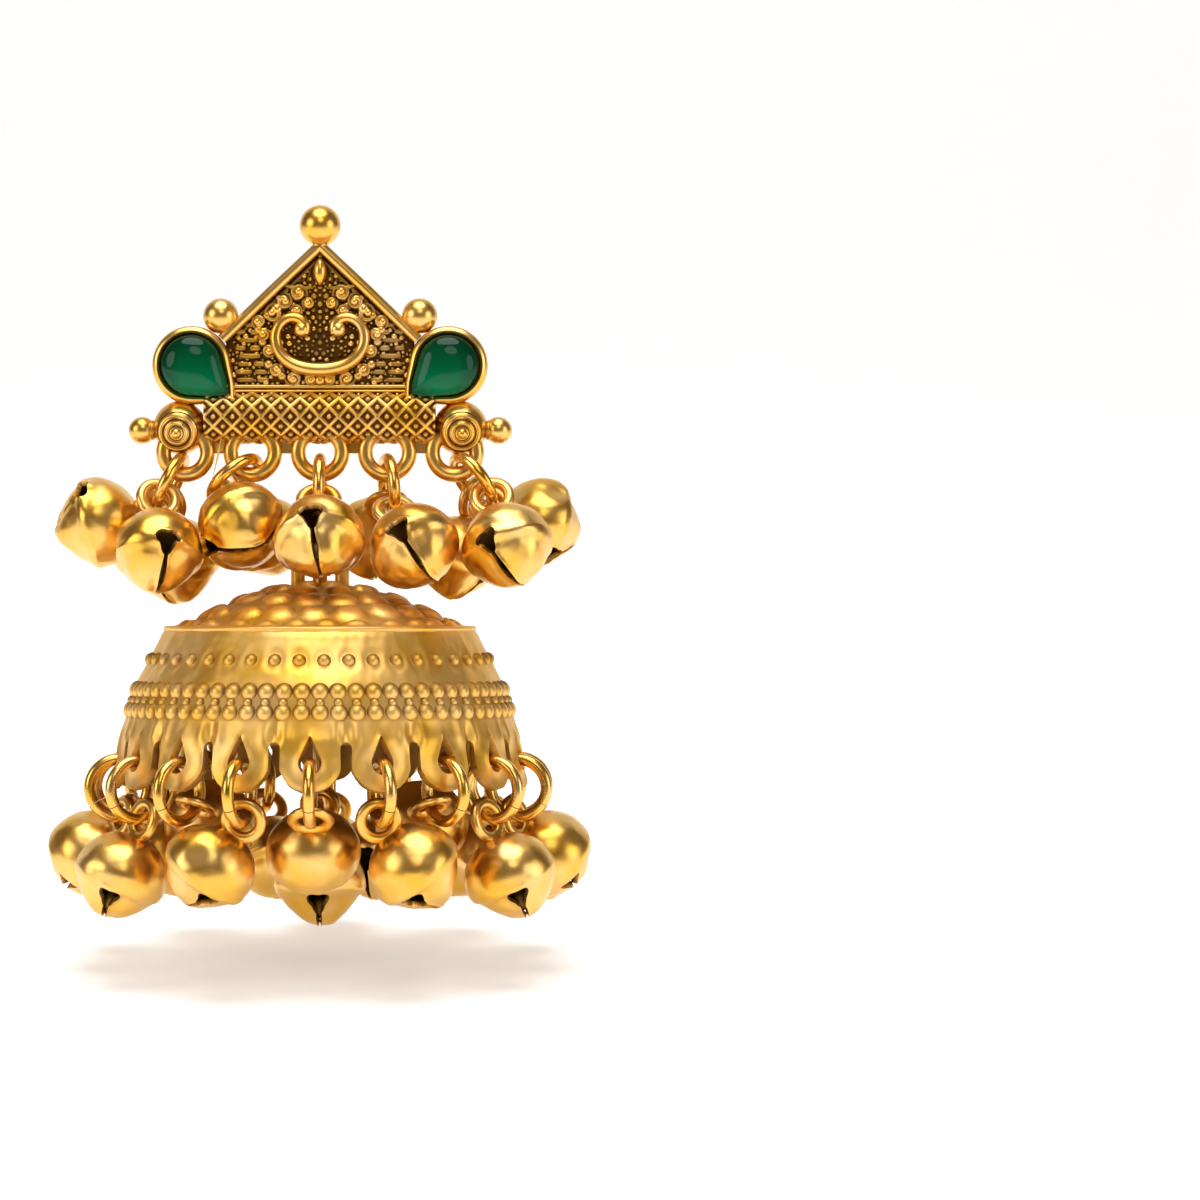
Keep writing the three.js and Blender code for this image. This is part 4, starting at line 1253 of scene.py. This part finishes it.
def pear_ring(side, profile):
    """A closed section, as places out from the stone's edge and depths, run round it."""
    mesh = bmesh.new()
    radius = 10.0
    corners = [mesh.verts.new((radius + out, 0, depth)) for out, depth in profile]
    edges = [mesh.edges.new((corners[i - 1], corners[i])) for i in range(len(corners))]
    bmesh.ops.spin(
        mesh, geom=edges, axis=(0, 0, 1), cent=(0, 0, 0), steps=96,
        angle=2 * math.pi, use_merge=True, dvec=(0, 0, 0),
    )
    bmesh.ops.remove_doubles(mesh, verts=mesh.verts, dist=0.001)
    for vert in mesh.verts:
        out = math.hypot(vert.co.x, vert.co.y) - radius
        angle = math.atan2(vert.co.y, vert.co.x)
        reach = pear_reach(STONE_RADIUS + out, STONE_TIP + 1.03 * out, angle)
        vert.co = pear_place(side, reach, angle, -vert.co.z)
    bmesh.ops.recalc_face_normals(mesh, faces=mesh.faces)
    return mesh


rim_section = [
    (0.05, 0.9), (0.05, 1.7), (0.16, 1.9), (0.36, 2.0), (0.56, 1.92),
    (0.7, 1.7), (BEZEL_WALL, 1.4), (BEZEL_WALL, 0.04), (0.05, 0.04),
]
turns = [2 * math.pi * k / 48 for k in range(48)]
for side in (-1, 1):
    part = pear_ring(side, rim_section)
    # Painted shade on the back of the setting's rim, where it meets the plate.
    add_part(cast, part, recess=lambda at: smooth_step(-0.2, 0.0, at.y) * 0.3)
    reaches = [pear_reach(STONE_RADIUS + 0.3, STONE_TIP + 0.3, turn) for turn in turns]
    back = [pear_place(side, reach, turn, 0) for reach, turn in zip(reaches, turns)]
    # The setting's back plate gets a little painted shade.
    cast_plate([(point.x, point.z) for point in back], -BACK_STEP, GROUND, 0, 0.2)
    over_eaves = Vector((side * (EAVES_HALF + 0.3 * SIDE_BALL), 0, EAVES_HEIGHT + 1.1 * SIDE_BALL))
    cast_ball(SIDE_BALL, over_eaves + Vector((0, -0.6 * SIDE_BALL, 0)))
    end = Vector((side * (ROLL_HALF + 0.92 * END_DOME), -0.3 * END_DOME, -END_DROP))
    cast_ball(END_DOME, end)
    facing = Vector((side * 0.09, -0.96, -0.25)).normalized()
    for out in (1.42, 0.84):
        part = wire_ring(out, BOSS_WIRE, steps=40, sides=10)
        seat = end + facing * (math.sqrt(END_DOME ** 2 - out ** 2) + 0.02)
        add_part(cast, part, standing(facing, Vector((0, 0, 1)), seat), 0.0)
        for groove in (0.24, -0.24):
            part = wire_ring(out + groove, 0.05, steps=40, sides=6)
            seat = end + facing * (math.sqrt(END_DOME ** 2 - (out + groove) ** 2) + 0.01)
            # Painted shade in the grooves beside the boss rings.
            add_part(cast, part, standing(facing, Vector((0, 0, 1)), seat), 0.9)
    cast_ball(0.45, end + facing * (END_DOME - 0.02))
    cast_ball(OUTER_BALL, end + Vector((side * (END_DOME + 0.8 * OUTER_BALL), 0, -0.22)))
    collar = wire_ring(0.55, 0.28, steps=24, sides=8)
    neck = end + Vector((side * (END_DOME + 0.1), 0, -0.2))
    # Painted shade on the collar, between the end dome and the outer ball.
    add_part(cast, collar, standing(Vector((1, 0, 0)), Vector((0, 0, 1)), neck), 0.4)
cast_ball(TOP_BALL, Vector((0, -0.6 * TOP_BALL, GABLE_TOP + 0.97 * TOP_BALL)))

# Five cast loops, the tabs between them, and the post with its pad.
for k in range(-2, 3):
    part = wire_ring(LOOP_RADIUS, LOOP_WIRE, steps=56, sides=16)
    hangs = Vector((k * LOOP_PITCH, -LOOP_FRONT, -LOOP_DROP))
    place = standing(Vector((0, 1, 0)), Vector((0, 0, 1)), hangs)
    # Painted shade on the loops' upper part, where they meet the casting.
    add_part(cast, part, place, lambda at: 0.5 * smooth_step(-7.9, -7.0, at.z))
for k in range(-2, 2):
    middle = (k + 0.5) * LOOP_PITCH
    left, right = middle - TAB_HALF, middle + TAB_HALF
    tab = [(left, -ROLL_DROP), (left, -TAB_DROP), (right, -TAB_DROP), (right, -ROLL_DROP)]
    # The tabs between the loops get painted shade.
    cast_plate(tab, -BACK_STEP, GROUND, 0.18, 0.35)
# A little painted shade on the post's pad.
round_bar(cast, Vector((0, -0.2, 0)), Vector((0, POST_PAD_DEPTH, 0)), POST_PAD, 48, 0.1)
taper = Vector((0, POST_LENGTH - 0.4, 0))
round_bar(cast, Vector((0, 0.2, 0)), taper, POST_WIRE, 24)
round_bar(cast, taper, Vector((0, POST_LENGTH, 0)), POST_WIRE, 24, end_radius=0.15)
piece = make_object("crown_cast", cast, MM, math.radians(45))
# The crown's gold carries the deepest painted shade.
piece.data.materials.append(gilt("antique_gilt_crown_painted_shade", shine=0.22, dents=0.3, painted_shade_depth=0.95))
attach(piece, "crown_body")
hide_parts("crown")
